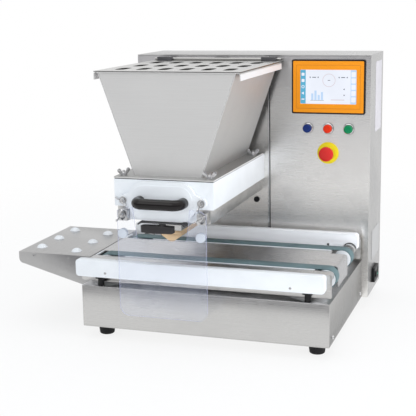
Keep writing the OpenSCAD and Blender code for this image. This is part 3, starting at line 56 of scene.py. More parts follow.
CAMERA_AT = at(795.0, -2288.5, 873.4)
CAMERA_AZIMUTH = math.radians(18.631)
CAMERA_ELEVATION = math.radians(11.883)
CAMERA_ROLL = math.radians(-0.96)
CAMERA_REACH = 50.0
IMAGE_SIZE = 416
FOCAL_PIXELS = 1012.0
SENSOR = 36.0


def set_camera():
    """The photograph's camera."""
    forward = Vector((-math.sin(CAMERA_AZIMUTH) * math.cos(CAMERA_ELEVATION),
                      math.cos(CAMERA_AZIMUTH) * math.cos(CAMERA_ELEVATION),
                      -math.sin(CAMERA_ELEVATION)))
    level = forward.cross(Vector(UP)).normalized()
    upright = level.cross(forward)
    right = math.cos(CAMERA_ROLL) * level + math.sin(CAMERA_ROLL) * upright
    up = -math.sin(CAMERA_ROLL) * level + math.cos(CAMERA_ROLL) * upright
    camera = bpy.data.cameras.new("photo_camera")
    camera.sensor_width = SENSOR
    camera.lens = FOCAL_PIXELS / IMAGE_SIZE * SENSOR
    camera.clip_end = CAMERA_REACH
    holder = bpy.data.objects.new("photo_camera", camera)
    turn = Matrix((right, up, -forward)).transposed().to_4x4()
    holder.matrix_world = Matrix.Translation(CAMERA_AT) @ turn
    bpy.context.scene.collection.objects.link(holder)
    bpy.context.scene.camera = holder


# Node helpers

def new_group(name, inputs, outputs):
    """An empty shader group with named sockets, its input node and its output node."""
    group = bpy.data.node_groups.new(name, "ShaderNodeTree")
    for label, kind, value in inputs:
        socket = group.interface.new_socket(label, in_out="INPUT", socket_type=kind)
        if value is not None:
            socket.default_value = value
    for label, kind in outputs:
        group.interface.new_socket(label, in_out="OUTPUT", socket_type=kind)
    return group, group.nodes.new("NodeGroupInput"), group.nodes.new("NodeGroupOutput")


def noise(tree, vector, scale, detail=2.0, rough=0.5):
    node = tree.nodes.new("ShaderNodeTexNoise")
    node.inputs["Scale"].default_value = scale
    node.inputs["Detail"].default_value = detail
    node.inputs["Roughness"].default_value = rough
    tree.links.new(vector, node.inputs["Vector"])
    return node.outputs["Fac"]


def spread(tree, value, low, high, to_low=0.0, to_high=1.0):
    """A value's range from low to high, stretched to another range and held at its ends."""
    node = tree.nodes.new("ShaderNodeMapRange")
    node.inputs["From Min"].default_value = low
    node.inputs["From Max"].default_value = high
    node.inputs["To Min"].default_value = to_low
    node.inputs["To Max"].default_value = to_high
    tree.links.new(value, node.inputs["Value"])
    return node.outputs["Result"]


def math_node(tree, kind, first, second=0.0):
    node = tree.nodes.new("ShaderNodeMath")
    node.operation = kind
    for socket, value in zip(node.inputs, (first, second)):
        if isinstance(value, (int, float)):
            socket.default_value = value
        else:
            tree.links.new(value, socket)
    return node.outputs[0]


def stretched(tree, vector, scale):
    node = tree.nodes.new("ShaderNodeMapping")
    node.inputs["Scale"].default_value = scale
    tree.links.new(vector, node.inputs["Vector"])
    return node.outputs["Vector"]


def split(tree, vector):
    """The X, Y and Z of a vector."""
    node = tree.nodes.new("ShaderNodeSeparateXYZ")
    tree.links.new(vector, node.inputs["Vector"])
    return node.outputs


def blended(tree, mask, first, second):
    """Two colours mixed by a mask; each is a colour or a socket."""
    node = tree.nodes.new("ShaderNodeMix")
    node.data_type = "RGBA"
    tree.links.new(mask, node.inputs["Factor"])
    for socket, colour in ((node.inputs["A"], first), (node.inputs["B"], second)):
        if isinstance(colour, (tuple, list)):
            socket.default_value = (*colour, 1.0)
        else:
            tree.links.new(colour, socket)
    return node.outputs["Result"]


def shader_mix(tree, mask, first, second):
    """The first outputs of two shader nodes, mixed by a mask."""
    node = tree.nodes.new("ShaderNodeMixShader")
    for value, socket in zip((mask, first.outputs[0], second.outputs[0]), node.inputs):
        tree.links.new(value, socket)
    return node


def shaded(colour, share):
    """A colour made darker or lighter."""
    return tuple(min(1.0, c * share) for c in colour)


# Shared effects

def brushed_group():
    """Fine grain lines, broad handling marks and a few specks of a brushed sheet."""
    group, given, out = new_group(
        "brushed_sheet",
        [("Position", "NodeSocketVector", None), ("Grain Position", "NodeSocketVector", None)],
        [("Grain", "NodeSocketFloat"), ("Marks", "NodeSocketFloat"), ("Specks", "NodeSocketFloat")])
    grain = noise(group, given.outputs["Grain Position"], scale=1.0, detail=3.0, rough=0.62)
    marks = noise(group, given.outputs["Position"], scale=9.0, detail=3.0, rough=0.55)
    specks = noise(group, given.outputs["Position"], scale=420.0, detail=1.0)
    group.links.new(grain, out.inputs["Grain"])
    group.links.new(marks, out.inputs["Marks"])
    group.links.new(spread(group, specks, 0.66, 0.74), out.inputs["Specks"])
    return group


def moulded_group():
    """Fine skin of moulded or milled plastic and the slow change of tone over it."""
    group, given, out = new_group(
        "plastic_skin",
        [("Position", "NodeSocketVector", None), ("Skin Scale", "NodeSocketFloat", 900.0)],
        [("Skin", "NodeSocketFloat"), ("Tone", "NodeSocketFloat")])
    skin = group.nodes.new("ShaderNodeTexNoise")
    skin.inputs["Detail"].default_value = 2.0
    group.links.new(given.outputs["Position"], skin.inputs["Vector"])
    group.links.new(given.outputs["Skin Scale"], skin.inputs["Scale"])
    group.links.new(skin.outputs["Fac"], out.inputs["Skin"])
    group.links.new(noise(group, given.outputs["Position"], scale=14.0, detail=3.0), out.inputs["Tone"])
    return group


BRUSHED = brushed_group()
MOULDED = moulded_group()


class Finish:
    """A material under construction: its tree, its shader, and its position and normal sockets."""

    def __init__(self, name):
        self.material = bpy.data.materials.new(name)
        self.material.use_nodes = True
        self.tree = self.material.node_tree
        self.shader = self.tree.nodes["Principled BSDF"]
        coordinates = self.tree.nodes.new("ShaderNodeTexCoord").outputs
        self.position = coordinates["Object"]
        self.normal = coordinates["Normal"]

    def group(self, group, **sockets):
        """A shared effect on this material's position, with its other sockets linked or set."""
        node = self.tree.nodes.new("ShaderNodeGroup")
        node.node_tree = group
        self.tree.links.new(self.position, node.inputs["Position"])
        for label, value in sockets.items():
            socket = node.inputs[label.replace("_", " ")]
            if isinstance(value, (int, float)):
                socket.default_value = value
            else:
                self.tree.links.new(value, socket)
        return node.outputs

    def set(self, **values):
        """Links or sets sockets of the shader; a colour is three numbers."""
        for label, value in values.items():
            socket = self.shader.inputs[label.replace("_", " ")]
            if isinstance(value, bpy.types.NodeSocket):
                self.tree.links.new(value, socket)
            elif isinstance(value, tuple) and len(value) == 3:
                socket.default_value = (*value, 1.0)
            else:
                socket.default_value = value

    def facing(self, axis):
        """How far the surface faces along one of its own axes, either way."""
        return math_node(self.tree, "ABSOLUTE", split(self.tree, self.normal)[axis])

    def inside(self, middle):
        """One where the surface faces a middle point, none where it faces away."""
        away = self.vector("SUBTRACT", self.position, tuple(middle))["Vector"]
        return spread(self.tree, self.vector("DOT_PRODUCT", away, self.normal)["Value"], 0.002, -0.002)

    def vector(self, kind, first, second):
        node = self.tree.nodes.new("ShaderNodeVectorMath")
        node.operation = kind
        for socket, value in zip(node.inputs, (first, second)):
            if isinstance(value, tuple):
                socket.default_value = value
            else:
                self.tree.links.new(value, socket)
        return node.outputs

    def bump(self, height, distance, strength):
        """Raises the surface by a height pattern and gives the material, which is then finished."""
        node = self.tree.nodes.new("ShaderNodeBump")
        node.inputs["Distance"].default_value = distance
        node.inputs["Strength"].default_value = strength
        self.tree.links.new(height, node.inputs["Height"])
        self.tree.links.new(node.outputs["Normal"], self.shader.inputs["Normal"])
        return self.material


# Finishes

# Low and high end of a noise pattern, for grain and skin and for slow changes of tone
FINE, SLOW = (0.3, 0.7), (0.35, 0.7)
# Stretch of the grain lines that run along each axis, and of those on turned pieces
GRAIN_ALONG = {"x": (10.0, 4500.0, 4500.0), "y": (4500.0, 10.0, 4500.0), "z": (4500.0, 4500.0, 10.0)}
GRAIN_TURNED = (700.0, 60.0, 700.0)
# Turn that lays a drawn sheet's highlights across its grain
DRAWN_TURN = 0.25
# Heights in metres over which the front panels get painted shade upwards, and the colour of that painted
# shade
PAINTED_SHADE_HEIGHTS = (0.35, 0.705)
PAINTED_SHADE_COLOUR = (0.0, 0.005, 0.05)
NO_COLOUR = (0.0, 0.0, 0.0)
# Colour of the pale film: partly dust, partly painted light and painted reflection
DUST_AND_PAINTED_LIGHT = (0.93, 0.91, 0.92)


def brushed_steel(name, along="x", tone=(0.6, 0.595, 0.585), smooth=0.22, rough=0.34, grazing=0.9,
                  drawn=0.0, film=0.0, film_on="Z", cut=1.0, middle=None, inner=1.0, top=1.0):
    """Stainless sheet with its brushed grain along one axis.

    Its roughness runs from smooth to rough, grazing is its tint at a slant, and drawn stretches its
    highlights. A pale film lies on the faces square to film_on: partly dust, partly painted light and
    painted reflection. cut paints shade on a level sheet's edges and its other faces that are not level,
    top paints shade on an upright sheet towards its top, and inner paints shade on the faces that look
    towards a middle point.
    """
    made = Finish(name)
    tree = made.tree
    parts = made.group(BRUSHED, Grain_Position=stretched(tree, made.position, GRAIN_ALONG[along]))
    grain, marks = parts["Grain"], parts["Marks"]
    worn = shaded(tone, 0.82)
    streaked = blended(tree, spread(tree, grain, *FINE), shaded(tone, 0.93), shaded(tone, 1.05))
    handled = blended(tree, spread(tree, marks, 0.55, 0.8, to_high=0.2), streaked, worn)
    base = blended(tree, math_node(tree, "MULTIPLY", parts["Specks"], 0.25), handled, worn)
    # Painted shade on faces that are not level, such as a sheet's edges and slot walls, by cut
    base = blended(tree, spread(tree, made.facing("Z"), 0.5, 0.95, cut, 1.0), NO_COLOUR, base)
    # Painted shade on an upright sheet, darker towards its top by top
    if top < 1.0:
        painted_top_shade = spread(tree, split(tree, made.position)["Z"], *PAINTED_SHADE_HEIGHTS, 1.0, top)
        base = blended(tree, painted_top_shade, PAINTED_SHADE_COLOUR, base)
    # Painted shade on the faces that look towards a middle point, by inner
    if middle is not None:
        base = blended(tree, spread(tree, made.inside(middle), 0.0, 1.0, 1.0, inner), NO_COLOUR, base)
    # Pale film on the faces square to film_on, partly dust and partly painted light and reflection; it also
    # turns the metal diffuse
    dust_and_painted_light = math_node(tree, "MULTIPLY", spread(tree, made.facing(film_on), 0.97, 0.995), film)
    lines = spread(tree, grain, *FINE, smooth, rough)
    rubbed = math_node(tree, "ADD", lines, spread(tree, marks, 0.45, 0.8, to_high=0.1))
    made.set(Base_Color=blended(tree, dust_and_painted_light, base, DUST_AND_PAINTED_LIGHT), Roughness=rubbed,
             Metallic=spread(tree, dust_and_painted_light, 0.0, 1.0, 1.0, 0.1), Specular_Tint=(grazing, grazing, grazing),
             Anisotropic=drawn, Anisotropic_Rotation=DRAWN_TURN)
    return made.bump(grain, distance=0.00001, strength=0.3)


def turned_steel(name, tone=(0.5, 0.5, 0.505), rough=0.2):
    """Bright turned or rolled metal of shafts, studs and nuts."""
    made = Finish(name)
    tree = made.tree
    parts = made.group(BRUSHED, Grain_Position=stretched(tree, made.position, GRAIN_TURNED))
    base = blended(tree, spread(tree, parts["Marks"], 0.4, 0.75), tone, shaded(tone, 0.8))
    lines = spread(tree, parts["Grain"], *FINE, rough, rough + 0.14)
    made.set(Base_Color=base, Metallic=1.0, Roughness=lines)
    return made.bump(parts["Grain"], distance=0.00002, strength=0.3)


def plastic(name, colour, rough=0.4, skin_scale=900.0, depth=0.00003, shade=0.9, gloss=0.3):
    """Moulded or milled plastic: a slow change of tone and a fine skin."""
    made = Finish(name)
    tree = made.tree
    parts = made.group(MOULDED, Skin_Scale=skin_scale)
    base = blended(tree, spread(tree, parts["Tone"], *SLOW), colour, shaded(colour, shade))
    skin = spread(tree, parts["Skin"], *FINE, rough - 0.05, rough + 0.07)
    worn = math_node(tree, "ADD", skin, spread(tree, parts["Tone"], 0.5, 0.75, to_high=0.08))
    made.set(Base_Color=base, Roughness=worn, Specular_IOR_Level=gloss)
    return made.bump(parts["Skin"], distance=depth, strength=0.5)


BELT_COVER, BELT_RUBBED, BELT_THREAD = (0.115, 0.185, 0.2), (0.085, 0.14, 0.155), (0.17, 0.245, 0.26)
WEAVE_SCALE, WEAVE_WAVER = 260.0, 0.4


def belt_cloth(name):
    """Grey-green belt: a fine plain weave under a rubbed cover."""
    made = Finish(name)
    tree = made.tree
    waves = []
    for axis in ("X", "Y"):
        wave = tree.nodes.new("ShaderNodeTexWave")
        wave.bands_direction = axis
        wave.inputs["Scale"].default_value = WEAVE_SCALE
        wave.inputs["Distortion"].default_value = WEAVE_WAVER
        tree.links.new(made.position, wave.inputs["Vector"])
        waves.append(wave.outputs["Fac"])
    weave = math_node(tree, "MULTIPLY", *waves)
    tone = made.group(MOULDED)["Tone"]
    cover = blended(tree, spread(tree, tone, *SLOW), BELT_COVER, BELT_RUBBED)
    base = blended(tree, spread(tree, weave, 0.0, 0.8, to_high=0.35), cover, BELT_THREAD)
    made.set(Base_Color=base, Roughness=spread(tree, weave, 0.0, 1.0, 0.72, 0.5))
    return made.bump(weave, distance=0.00015, strength=0.6)


CLEAR_FACE, CLEAR_EDGE = (0.74, 0.8, 1.0), (0.5, 0.53, 0.8)


def clear_sheet(name):
    """Clear polished sheet seen almost straight through: a thin cool veil, fuller on the cut edges."""
    made = Finish(name)
    tree = made.tree
    tone = made.group(MOULDED, Skin_Scale=60.0)["Tone"]
    edge = spread(tree, made.facing("Y"), 0.9, 0.6)
    veil = spread(tree, tone, 0.35, 0.75, 0.06, 0.085)
    fuller = math_node(tree, "ADD", veil, math_node(tree, "MULTIPLY", edge, 0.4))
    made.set(Base_Color=blended(tree, edge, CLEAR_FACE, CLEAR_EDGE), Alpha=fuller,
             Roughness=spread(tree, tone, 0.4, 0.75, 0.04, 0.09))
    return made.material


UNLIT = (0.02, 0.02, 0.022)


def lit(name, colour):
    """A lit part of the display's picture."""
    made = Finish(name)
    tree = made.tree
    parts = made.group(MOULDED, Skin_Scale=3000.0)
    tint = blended(tree, spread(tree, parts["Tone"], *SLOW), colour, shaded(colour, 0.94))
    made.set(Base_Color=UNLIT, Roughness=spread(tree, parts["Skin"], *FINE, 0.12, 0.2),
             Emission_Color=tint, Emission_Strength=1.0)
    return made.material


# Point that the hopper's painted shade faces towards
HOPPER_MIDDLE = at(HEAD_X, 210.0, 560.0)
STEEL_PLAIN = brushed_steel("steel_brushed_along", "x")
# The base's level faces carry the pale film: partly dust, partly painted light on the deck
STEEL_BASE = brushed_steel("steel_base", "x", grazing=0.52, film=0.9)
STEEL_UPRIGHT = brushed_steel("steel_brushed_upright", "z", tone=(0.53, 0.528, 0.525))
# The grid's faces that are not level get painted shade: its edges, slot walls and hinge barrel
STEEL_GRID = brushed_steel("steel_grid", "y", cut=0.4)
# Front panels: a tone made light as painted light, falling to painted shade towards their top
STEEL_PANEL = brushed_steel("steel_panel", "x", tone=(0.97, 0.945, 0.92), smooth=0.22, rough=0.32,
                            drawn=0.7, top=0.53)
STEEL_TABLE = brushed_steel("steel_table", "y", tone=(0.45, 0.448, 0.448))
# Hopper: painted shade inside it, on its flange and under its rim, and painted reflection on its X-facing
# faces
STEEL_HOPPER = brushed_steel("steel_hopper", "x", tone=(0.73, 0.73, 0.725), smooth=0.42, rough=0.52,
                             grazing=1.0, film=0.7, film_on="X", middle=HOPPER_MIDDLE, inner=0.62)
STEEL_BED = brushed_steel("steel_bed", "x", tone=(0.5, 0.5, 0.51), smooth=0.2, rough=0.32)
STEEL_TURNED = turned_steel("steel_turned")
SCREW_STEEL = turned_steel("steel_screw", tone=(0.7, 0.7, 0.71), rough=0.18)
CHROME = turned_steel("bright_collar", tone=(0.86, 0.86, 0.87), rough=0.12)
BUFFER = plastic("pale_buffer", (0.6, 0.64, 0.71), rough=0.4, skin_scale=1400.0, shade=0.95)
HDPE = plastic("white_milled_plastic", (0.83, 0.855, 0.885), rough=0.42, skin_scale=1400.0, shade=0.95)
# The rear rail's white plastic, lighter than the front rail's: painted light against the shade it stands in
HDPE_PAINTED_LIGHT = plastic("white_rear_rail_painted_light", (0.95, 0.965, 1.0), rough=0.42, skin_scale=1400.0, shade=0.97)
BLACK = plastic("black_satin_plastic", (0.011, 0.011, 0.012), rough=0.42, shade=0.7, gloss=0.22)
BLACK_GRIP = plastic("black_grip_plastic", (0.007, 0.005, 0.005), rough=0.13, depth=0.00001, shade=0.7)
BLACK_WORN = plastic("black_worn_plastic", (0.032, 0.03, 0.032), rough=0.42, shade=0.8)
STRAP_GREY = plastic("worn_strap", (0.062, 0.06, 0.063), rough=0.42, shade=0.8)
HINGE_GREY = plastic("dark_grey_hinge", (0.075, 0.073, 0.078), rough=0.4, shade=0.8)
BLACK_SOFT = plastic("black_rubber", (0.016, 0.016, 0.017), rough=0.65, skin_scale=500.0, depth=0.00006,
                     gloss=0.2)
ORANGE = plastic("orange_film", (0.93, 0.32, 0.012), rough=0.38, shade=0.96, gloss=0.2)
BLUE = plastic("blue_cap", (0.009, 0.03, 0.17), rough=0.28, gloss=0.22)
RED = plastic("red_cap", (0.8, 0.035, 0.006), rough=0.28, gloss=0.22)
GREEN = plastic("green_cap", (0.002, 0.23, 0.085), rough=0.28, gloss=0.22)
ROCKER_GREEN = plastic("green_rocker", (0.03, 0.62, 0.36), rough=0.25)
MUSHROOM_RED = plastic("mushroom_red", (0.68, 0.028, 0.025), rough=0.32, gloss=0.25)
YELLOW = plastic("yellow_disc", (0.93, 0.78, 0.025), rough=0.42, gloss=0.2)
IVORY = plastic("ivory_plastic", (0.7, 0.66, 0.55), rough=0.45)
BRASS_PALE = turned_steel("pale_bronze", (0.83, 0.62, 0.4), rough=0.38)
BRASS = turned_steel("gear_brass", (0.72, 0.52, 0.2), rough=0.25)
MOTOR_PAINT = plastic("motor_paint", (0.06, 0.07, 0.08), rough=0.45, skin_scale=300.0, depth=0.00012)
UNIT_PAINT = plastic("unit_paint", (0.45, 0.45, 0.45), rough=0.5, skin_scale=300.0, depth=0.0001)
BELT = belt_cloth("belt_weave")
CLEAR = clear_sheet("clear_polished_sheet")
SCREEN_PALE = lit("screen_ground", (0.84, 0.88, 0.97))
SCREEN_BLUE = lit("screen_blue", (0.08, 0.41, 0.62))
SCREEN_SKY = lit("screen_sky", (0.5, 0.68, 0.92))
SCREEN_MARK = lit("screen_mark", (0.07, 0.09, 0.13))
SCREEN_ROSE = lit("screen_rose", (0.7, 0.62, 0.66))
FILM_LINE = plastic("film_line", (0.55, 0.19, 0.02), rough=0.36)
BLANK_WHITE = plastic("blank_white_film", (0.59, 0.57, 0.61), rough=0.35, shade=0.96)
BLANK_PLATE = brushed_steel("bare_plate", "y", tone=(0.64, 0.645, 0.655), smooth=0.3, rough=0.4)

NODE_FINISH = {
    STEEL_BASE: ["base_tray"],
    STEEL_PLAIN: ["base_floor", "rear_cover", "die_rails", "conveyor_frame", "nozzle_holder"],
    STEEL_PANEL: ["head_panel", "control_panel"],
    STEEL_HOPPER: ["hopper"],
    STEEL_GRID: ["hopper_grid"],
    STEEL_TABLE: ["infeed_table"],
    STEEL_UPRIGHT: ["cabinet_shell"],
    STEEL_BED: ["slider_bed"],
    SCREW_STEEL: ["wing_nuts"],
    STEEL_TURNED: ["studs", "drive_shaft", "idle_shaft", "lift_rod", "feed_roller_left",
                   "feed_roller_right"],
    CHROME: ["button_collars"],
    HDPE: ["head_block", "front_cover", "front_rail", "table_glides", "drive_pulleys", "idle_pulleys"],
    HDPE_PAINTED_LIGHT: ["rear_rail"],
    BUFFER: ["guard_buffers"],
    BLACK: ["touchscreen_housing", "power_inlet", "sensors", "lift_posts", "estop_stem"],
    HINGE_GREY: ["hinge_blocks"],
    BLACK_GRIP: ["pull_handle"],
    STRAP_GREY: ["clamp_strap"],
    BLACK_WORN: ["clamp_lever"],
    BLACK_SOFT: ["feet", "hopper_gasket"],
    ORANGE: ["touchscreen_film"],
    SCREEN_PALE: ["display"],
    BLUE: ["button_blue"],
    RED: ["button_red"],
    GREEN: ["button_green"],
    ROCKER_GREEN: ["power_rocker"],
    MUSHROOM_RED: ["estop_mushroom"],
    YELLOW: ["estop_disc"],
    IVORY: ["contact_blocks"],
    BRASS_PALE: ["nozzle_trough", "nozzle_bar"],
    BRASS: ["drive_gear", "driven_gear"],
    MOTOR_PAINT: ["feed_gearmotor", "belt_gearmotor", "lift_actuator"],
    UNIT_PAINT: ["control_unit"],
    BELT: ["belt_front", "belt_rear"],
    CLEAR: ["guard_sheet"],
}
# Nodes with rounded edges, under the width of the rounding in millimetres
ROUNDED = {
    0.3: ["estop_disc"],
    0.4: ["belt_front", "belt_rear", "button_collars"],
    0.6: ["die_rails", "conveyor_frame", "nozzle_trough", "power_rocker", "clamp_strap", "lift_posts",
          "studs", "contact_blocks", "button_blue", "button_red", "button_green"],
    0.7: ["infeed_table", "wing_nuts"],
    0.8: ["nozzle_bar", "nozzle_holder", "touchscreen_housing", "power_inlet", "sensors", "guard_buffers",
          "drive_pulleys", "idle_pulleys"],
    0.9: ["base_tray", "cabinet_shell"],
    1.0: ["hinge_blocks"],
    1.2: ["head_block", "belt_gearmotor"],
    1.5: ["feed_gearmotor", "lift_actuator"],
    1.6: ["front_cover", "front_rail", "rear_rail"],
    2.2: ["clamp_lever"],
    2.5: ["feet"],
}
EDGE = {name: width for width, names in ROUNDED.items() for name in names}
# Angles in degrees: facets below the first are one face, edges above the second are sharp
FLAT_ANGLE, SHARP_ANGLE = 0.4, 38.0
WELD_GAP = 0.00001


def soften(node, width):
    """Rounds the sharp edges of a node: its triangles are welded and joined to faces first."""
    weld = node.modifiers.new("weld", "WELD")
    weld.merge_threshold = WELD_GAP
    join = node.modifiers.new("join_faces", "DECIMATE")
    join.decimate_type = "DISSOLVE"
    join.angle_limit = math.radians(FLAT_ANGLE)
    edge = node.modifiers.new("round_edges", "BEVEL")
    edge.width = width * MM
    edge.segments = 2
    edge.limit_method = "ANGLE"
    edge.angle_limit = math.radians(SHARP_ANGLE)
    edge.use_clamp_overlap = True
    edge.harden_normals = True


def smooth_faces(node, angle=SHARP_ANGLE):
    mesh = node.data
    mesh.polygons.foreach_set("use_smooth", [True] * len(mesh.polygons))
    mesh.set_sharp_from_angle(angle=math.radians(angle))


def dress_nodes():
    """Gives every CAD node its finish and its rounded edges."""
    for finish, names in NODE_FINISH.items():
        for name in names:
            node = nodes[name]
            node.data.materials.clear()
            node.data.materials.append(finish)
            if name in EDGE:
                soften(node, EDGE[name])
            smooth_faces(node)


# Making pieces: each is drawn in machine millimetres and moved into the model's metres at the end

FACE_FRONT = Matrix.Rotation(math.pi / 2, 4, "X")
FACE_RIGHT = Matrix(((0, 0, 1, 0), (1, 0, 0, 0), (0, 1, 0, 0), (0, 0, 0, 1)))


def corners(node):
    """Lowest and highest corner of a node at rest, in machine millimetres."""
    return tuple(Vector(corner) / MM + Vector((BOX_X, BOX_Y, 0.0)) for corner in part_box(node))


def add_piece(name, build, finish, body, smooth=35.0):
    """A finished bmesh as a piece that moves with a body."""
    bmesh.ops.recalc_face_normals(build, faces=build.faces)
    build.transform(Matrix.Scale(MM, 4) @ Matrix.Translation((-BOX_X, -BOX_Y, 0.0)))
    mesh = bpy.data.meshes.new(name)
    build.to_mesh(mesh)
    build.free()
    mesh.materials.append(finish)
    piece = bpy.data.objects.new(name, mesh)
    bpy.context.scene.collection.objects.link(piece)
    smooth_faces(piece, smooth)
    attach(piece, body)


def join_in(whole, shape, place=Matrix.Identity(4)):
    """Adds a shape to a bmesh at a place, which is a matrix, and lets go of the shape."""
    step = bpy.data.meshes.new("step")
    shape.transform(place)
    shape.to_mesh(step)
    shape.free()
    whole.from_mesh(step)
    bpy.data.meshes.remove(step)


def pointing(way):
    """Turns a shape drawn along +Z to another direction."""
    return Vector(UP).rotation_difference(Vector(way)).to_matrix().to_4x4()


def set_out(shape, places):
    """Copies of a shape drawn along +Z, each at its place and turned to its own direction."""
    whole = bmesh.new()
    for place, outward in places:
        join_in(whole, shape.copy(), Matrix.Translation(place) @ pointing(outward))
    shape.free()
    return whole


def turned(profile, steps=24, closed=False):
    """A solid of revolution about Z from (radius, height) points."""
    build = bmesh.new()
    points = [build.verts.new((radius, 0.0, height)) for radius, height in profile]
    ends = points[1:] + points[:1] if closed else points[1:]
    edges = [build.edges.new(pair) for pair in zip(points, ends)]
    bmesh.ops.spin(build, geom=points + edges, cent=(0, 0, 0), axis=UP, angle=2 * math.pi, steps=steps,
                   use_merge=True)
    bmesh.ops.remove_doubles(build, verts=build.verts, dist=0.0005)
    bmesh.ops.recalc_face_normals(build, faces=build.faces)
    return build


# A screw's head: how far it is sunk, its dome as shares of radius and height, and its socket's share
SCREW_SUNK = 0.4
SCREW_DOME = ((1.0, 0.35), (0.86, 0.76), (0.64, 1.0))
SOCKET_SHARE = 0.4


def socket_screw(head_r, head_h, socket_r):
    """A dome-headed screw with a hexagon socket, standing on Z = 0."""
    dome = [(r * head_r, h * head_h) for r, h in SCREW_DOME]
    build = turned([(0, -SCREW_SUNK), (head_r, -SCREW_SUNK)] + dome)
    rim = [edge for edge in build.edges if edge.is_boundary]
    top = Matrix.Translation((0, 0, head_h))
    bmesh.ops.create_circle(build, radius=socket_r, segments=6, matrix=top)
    mouth = [edge for edge in build.edges if edge.is_wire]
    bmesh.ops.bridge_loops(build, edges=rim + mouth)
    walls = bmesh.ops.extrude_edge_only(build, edges=mouth)["geom"]
    deep = [item for item in walls if isinstance(item, bmesh.types.BMVert)]
    bmesh.ops.translate(build, verts=deep, vec=(0, 0, -SOCKET_SHARE * head_h))
    bmesh.ops.holes_fill(build, edges=build.edges, sides=6)
    return build


def thicken(build, depth):
    """Gives a flat shape a thickness along Z."""
    raised = bmesh.ops.extrude_face_region(build, geom=build.faces[:])["geom"]
    top = [item for item in raised if isinstance(item, bmesh.types.BMVert)]
    bmesh.ops.translate(build, verts=top, vec=(0, 0, depth))
    bmesh.ops.recalc_face_normals(build, faces=build.faces)
    return build


def flat_card(width, height, radius):
    """A flat rectangle with round corners."""
    build = bmesh.new()
    bmesh.ops.create_grid(build, x_segments=1, y_segments=1, size=0.5)
    bmesh.ops.scale(build, vec=(width, height, 1), verts=build.verts)
    bmesh.ops.bevel(build, geom=build.verts[:], offset=radius, segments=5, profile=0.5,
                    affect="VERTICES", material=-1)
    return build


def card(width, height, radius, depth):
    """A plate with round corners, its back on Z = 0."""
    return thicken(flat_card(width, height, radius), depth)


def ring_card(width, height, radius, line, depth):
    """A raised line round a rectangle with round corners."""
    build = flat_card(width, height, radius)
    middle = build.faces[:]
    bmesh.ops.inset_region(build, faces=middle, thickness=line, use_boundary=True, use_even_offset=True)
    bmesh.ops.delete(build, geom=middle, context="FACES")
    return thicken(build, depth)


def long_bar(x, y, z, edge):
    """A bar with rounded edges over a span along each axis."""
    low, high = (Vector(ends) for ends in zip(x, y, z))
    build = bmesh.new()
    bmesh.ops.create_cube(build, size=1.0)
    bmesh.ops.scale(build, vec=high - low, verts=build.verts)
    bmesh.ops.translate(build, vec=(low + high) / 2, verts=build.verts)
    bmesh.ops.bevel(build, geom=build.edges[:], offset=edge, segments=3, profile=0.5,
                    affect="EDGES", material=-1)
    return build


# Fasteners

# Y and Z of the screws on each end of the base
BASE_SCREWS = ((42.0, 48.0), (420.0, 50.0))
# X and Z of the screws on the front of each rail
RAIL_SCREWS = {"front_rail": ((-258.0, 179.0), (229.0, 177.0)),
               "rear_rail": ((-252.0, 193.5), (240.0, 193.5))}
# X and Z of the screws on each side of the infeed table
TABLE_SCREWS = ((-496.0, 195.5), (-393.0, 191.0))


def base_screws():
    low, high = corners("base_tray")
    places = [((x, y, z), out) for x, out in ((low.x, LEFT), (high.x, RIGHT)) for y, z in BASE_SCREWS]
    screw = socket_screw(head_r=5.0, head_h=2.6, socket_r=2.0)
    add_piece("base_screws", set_out(screw, places), SCREW_STEEL, "machine")


def rail_screws():
    """Sunk screws that hold the two rails to the conveyor's side plates."""
    places = [((x, corners(rail)[0].y, z), FRONT) for rail, marks in RAIL_SCREWS.items() for x, z in marks]
    screw = socket_screw(head_r=3.6, head_h=0.5, socket_r=1.3)
    add_piece("rail_screws", set_out(screw, places), SCREW_STEEL, "conveyor")


def table_screws():
    low, high = corners("infeed_table")
    places = [((x, y, z), out) for y, out in ((low.y, FRONT), (high.y, BACK)) for x, z in TABLE_SCREWS]
    screw = socket_screw(head_r=3.6, head_h=1.8, socket_r=1.8)
    add_piece("table_screws", set_out(screw, places), STEEL_TURNED, "machine")


# Studs, each with its distance to either side of the head's middle
COVER_STUD_X, COVER_STUD_Z = 102.0, 381.0
GUARD_STUD_X, GUARD_STUD_Z = 104.0, 347.0
HOPPER_STUD_X, HOPPER_STUD_YS = 113.0, (4.0, 382.0)
HOPPER_FLANGE_Z = 437.0
STUD_R = 3.0
# Thread that shows past a wing nut: where it starts, its pitch and its turns
THREAD_START, THREAD_PITCH, THREAD_TURNS = 8.6, 1.0, 4


def stud_places():
    """Where each stud leaves the face that its wing nut presses on, and its direction."""
    cover, guard = corners("front_cover")[0].y, corners("guard_sheet")[0].y
    for side in (-1, 1):
        yield (HEAD_X + side * COVER_STUD_X, cover, COVER_STUD_Z), FRONT
        yield (HEAD_X + side * GUARD_STUD_X, guard, GUARD_STUD_Z), FRONT
        for y in HOPPER_STUD_YS:
            yield (HEAD_X + side * HOPPER_STUD_X, y, HOPPER_FLANGE_Z), UP


def stud_threads():
    root, crest, tip = STUD_R - 0.1, STUD_R + 0.35, STUD_R - 0.3
    end = THREAD_START + THREAD_TURNS * THREAD_PITCH
    profile = [(0, THREAD_START)]
    for turn in range(THREAD_TURNS):
        start = THREAD_START + turn * THREAD_PITCH
        profile += [(root, start), (crest, start + THREAD_PITCH / 2)]
    profile += [(tip, end), (0, end)]
    threads = set_out(turned(profile, steps=20), stud_places())
    add_piece("stud_threads", threads, STEEL_TURNED, "machine")


def stud_washers():
    inner, outer, height, edge = 7.2, 9.6, 1.0, 0.2
    ring = turned([(inner, 0.0), (outer - edge, 0.0), (outer, edge), (outer, height - edge),
                   (outer - edge, height), (inner, height)], steps=28, closed=True)
    add_piece("stud_washers", set_out(ring, stud_places()), STEEL_TURNED, "machine")


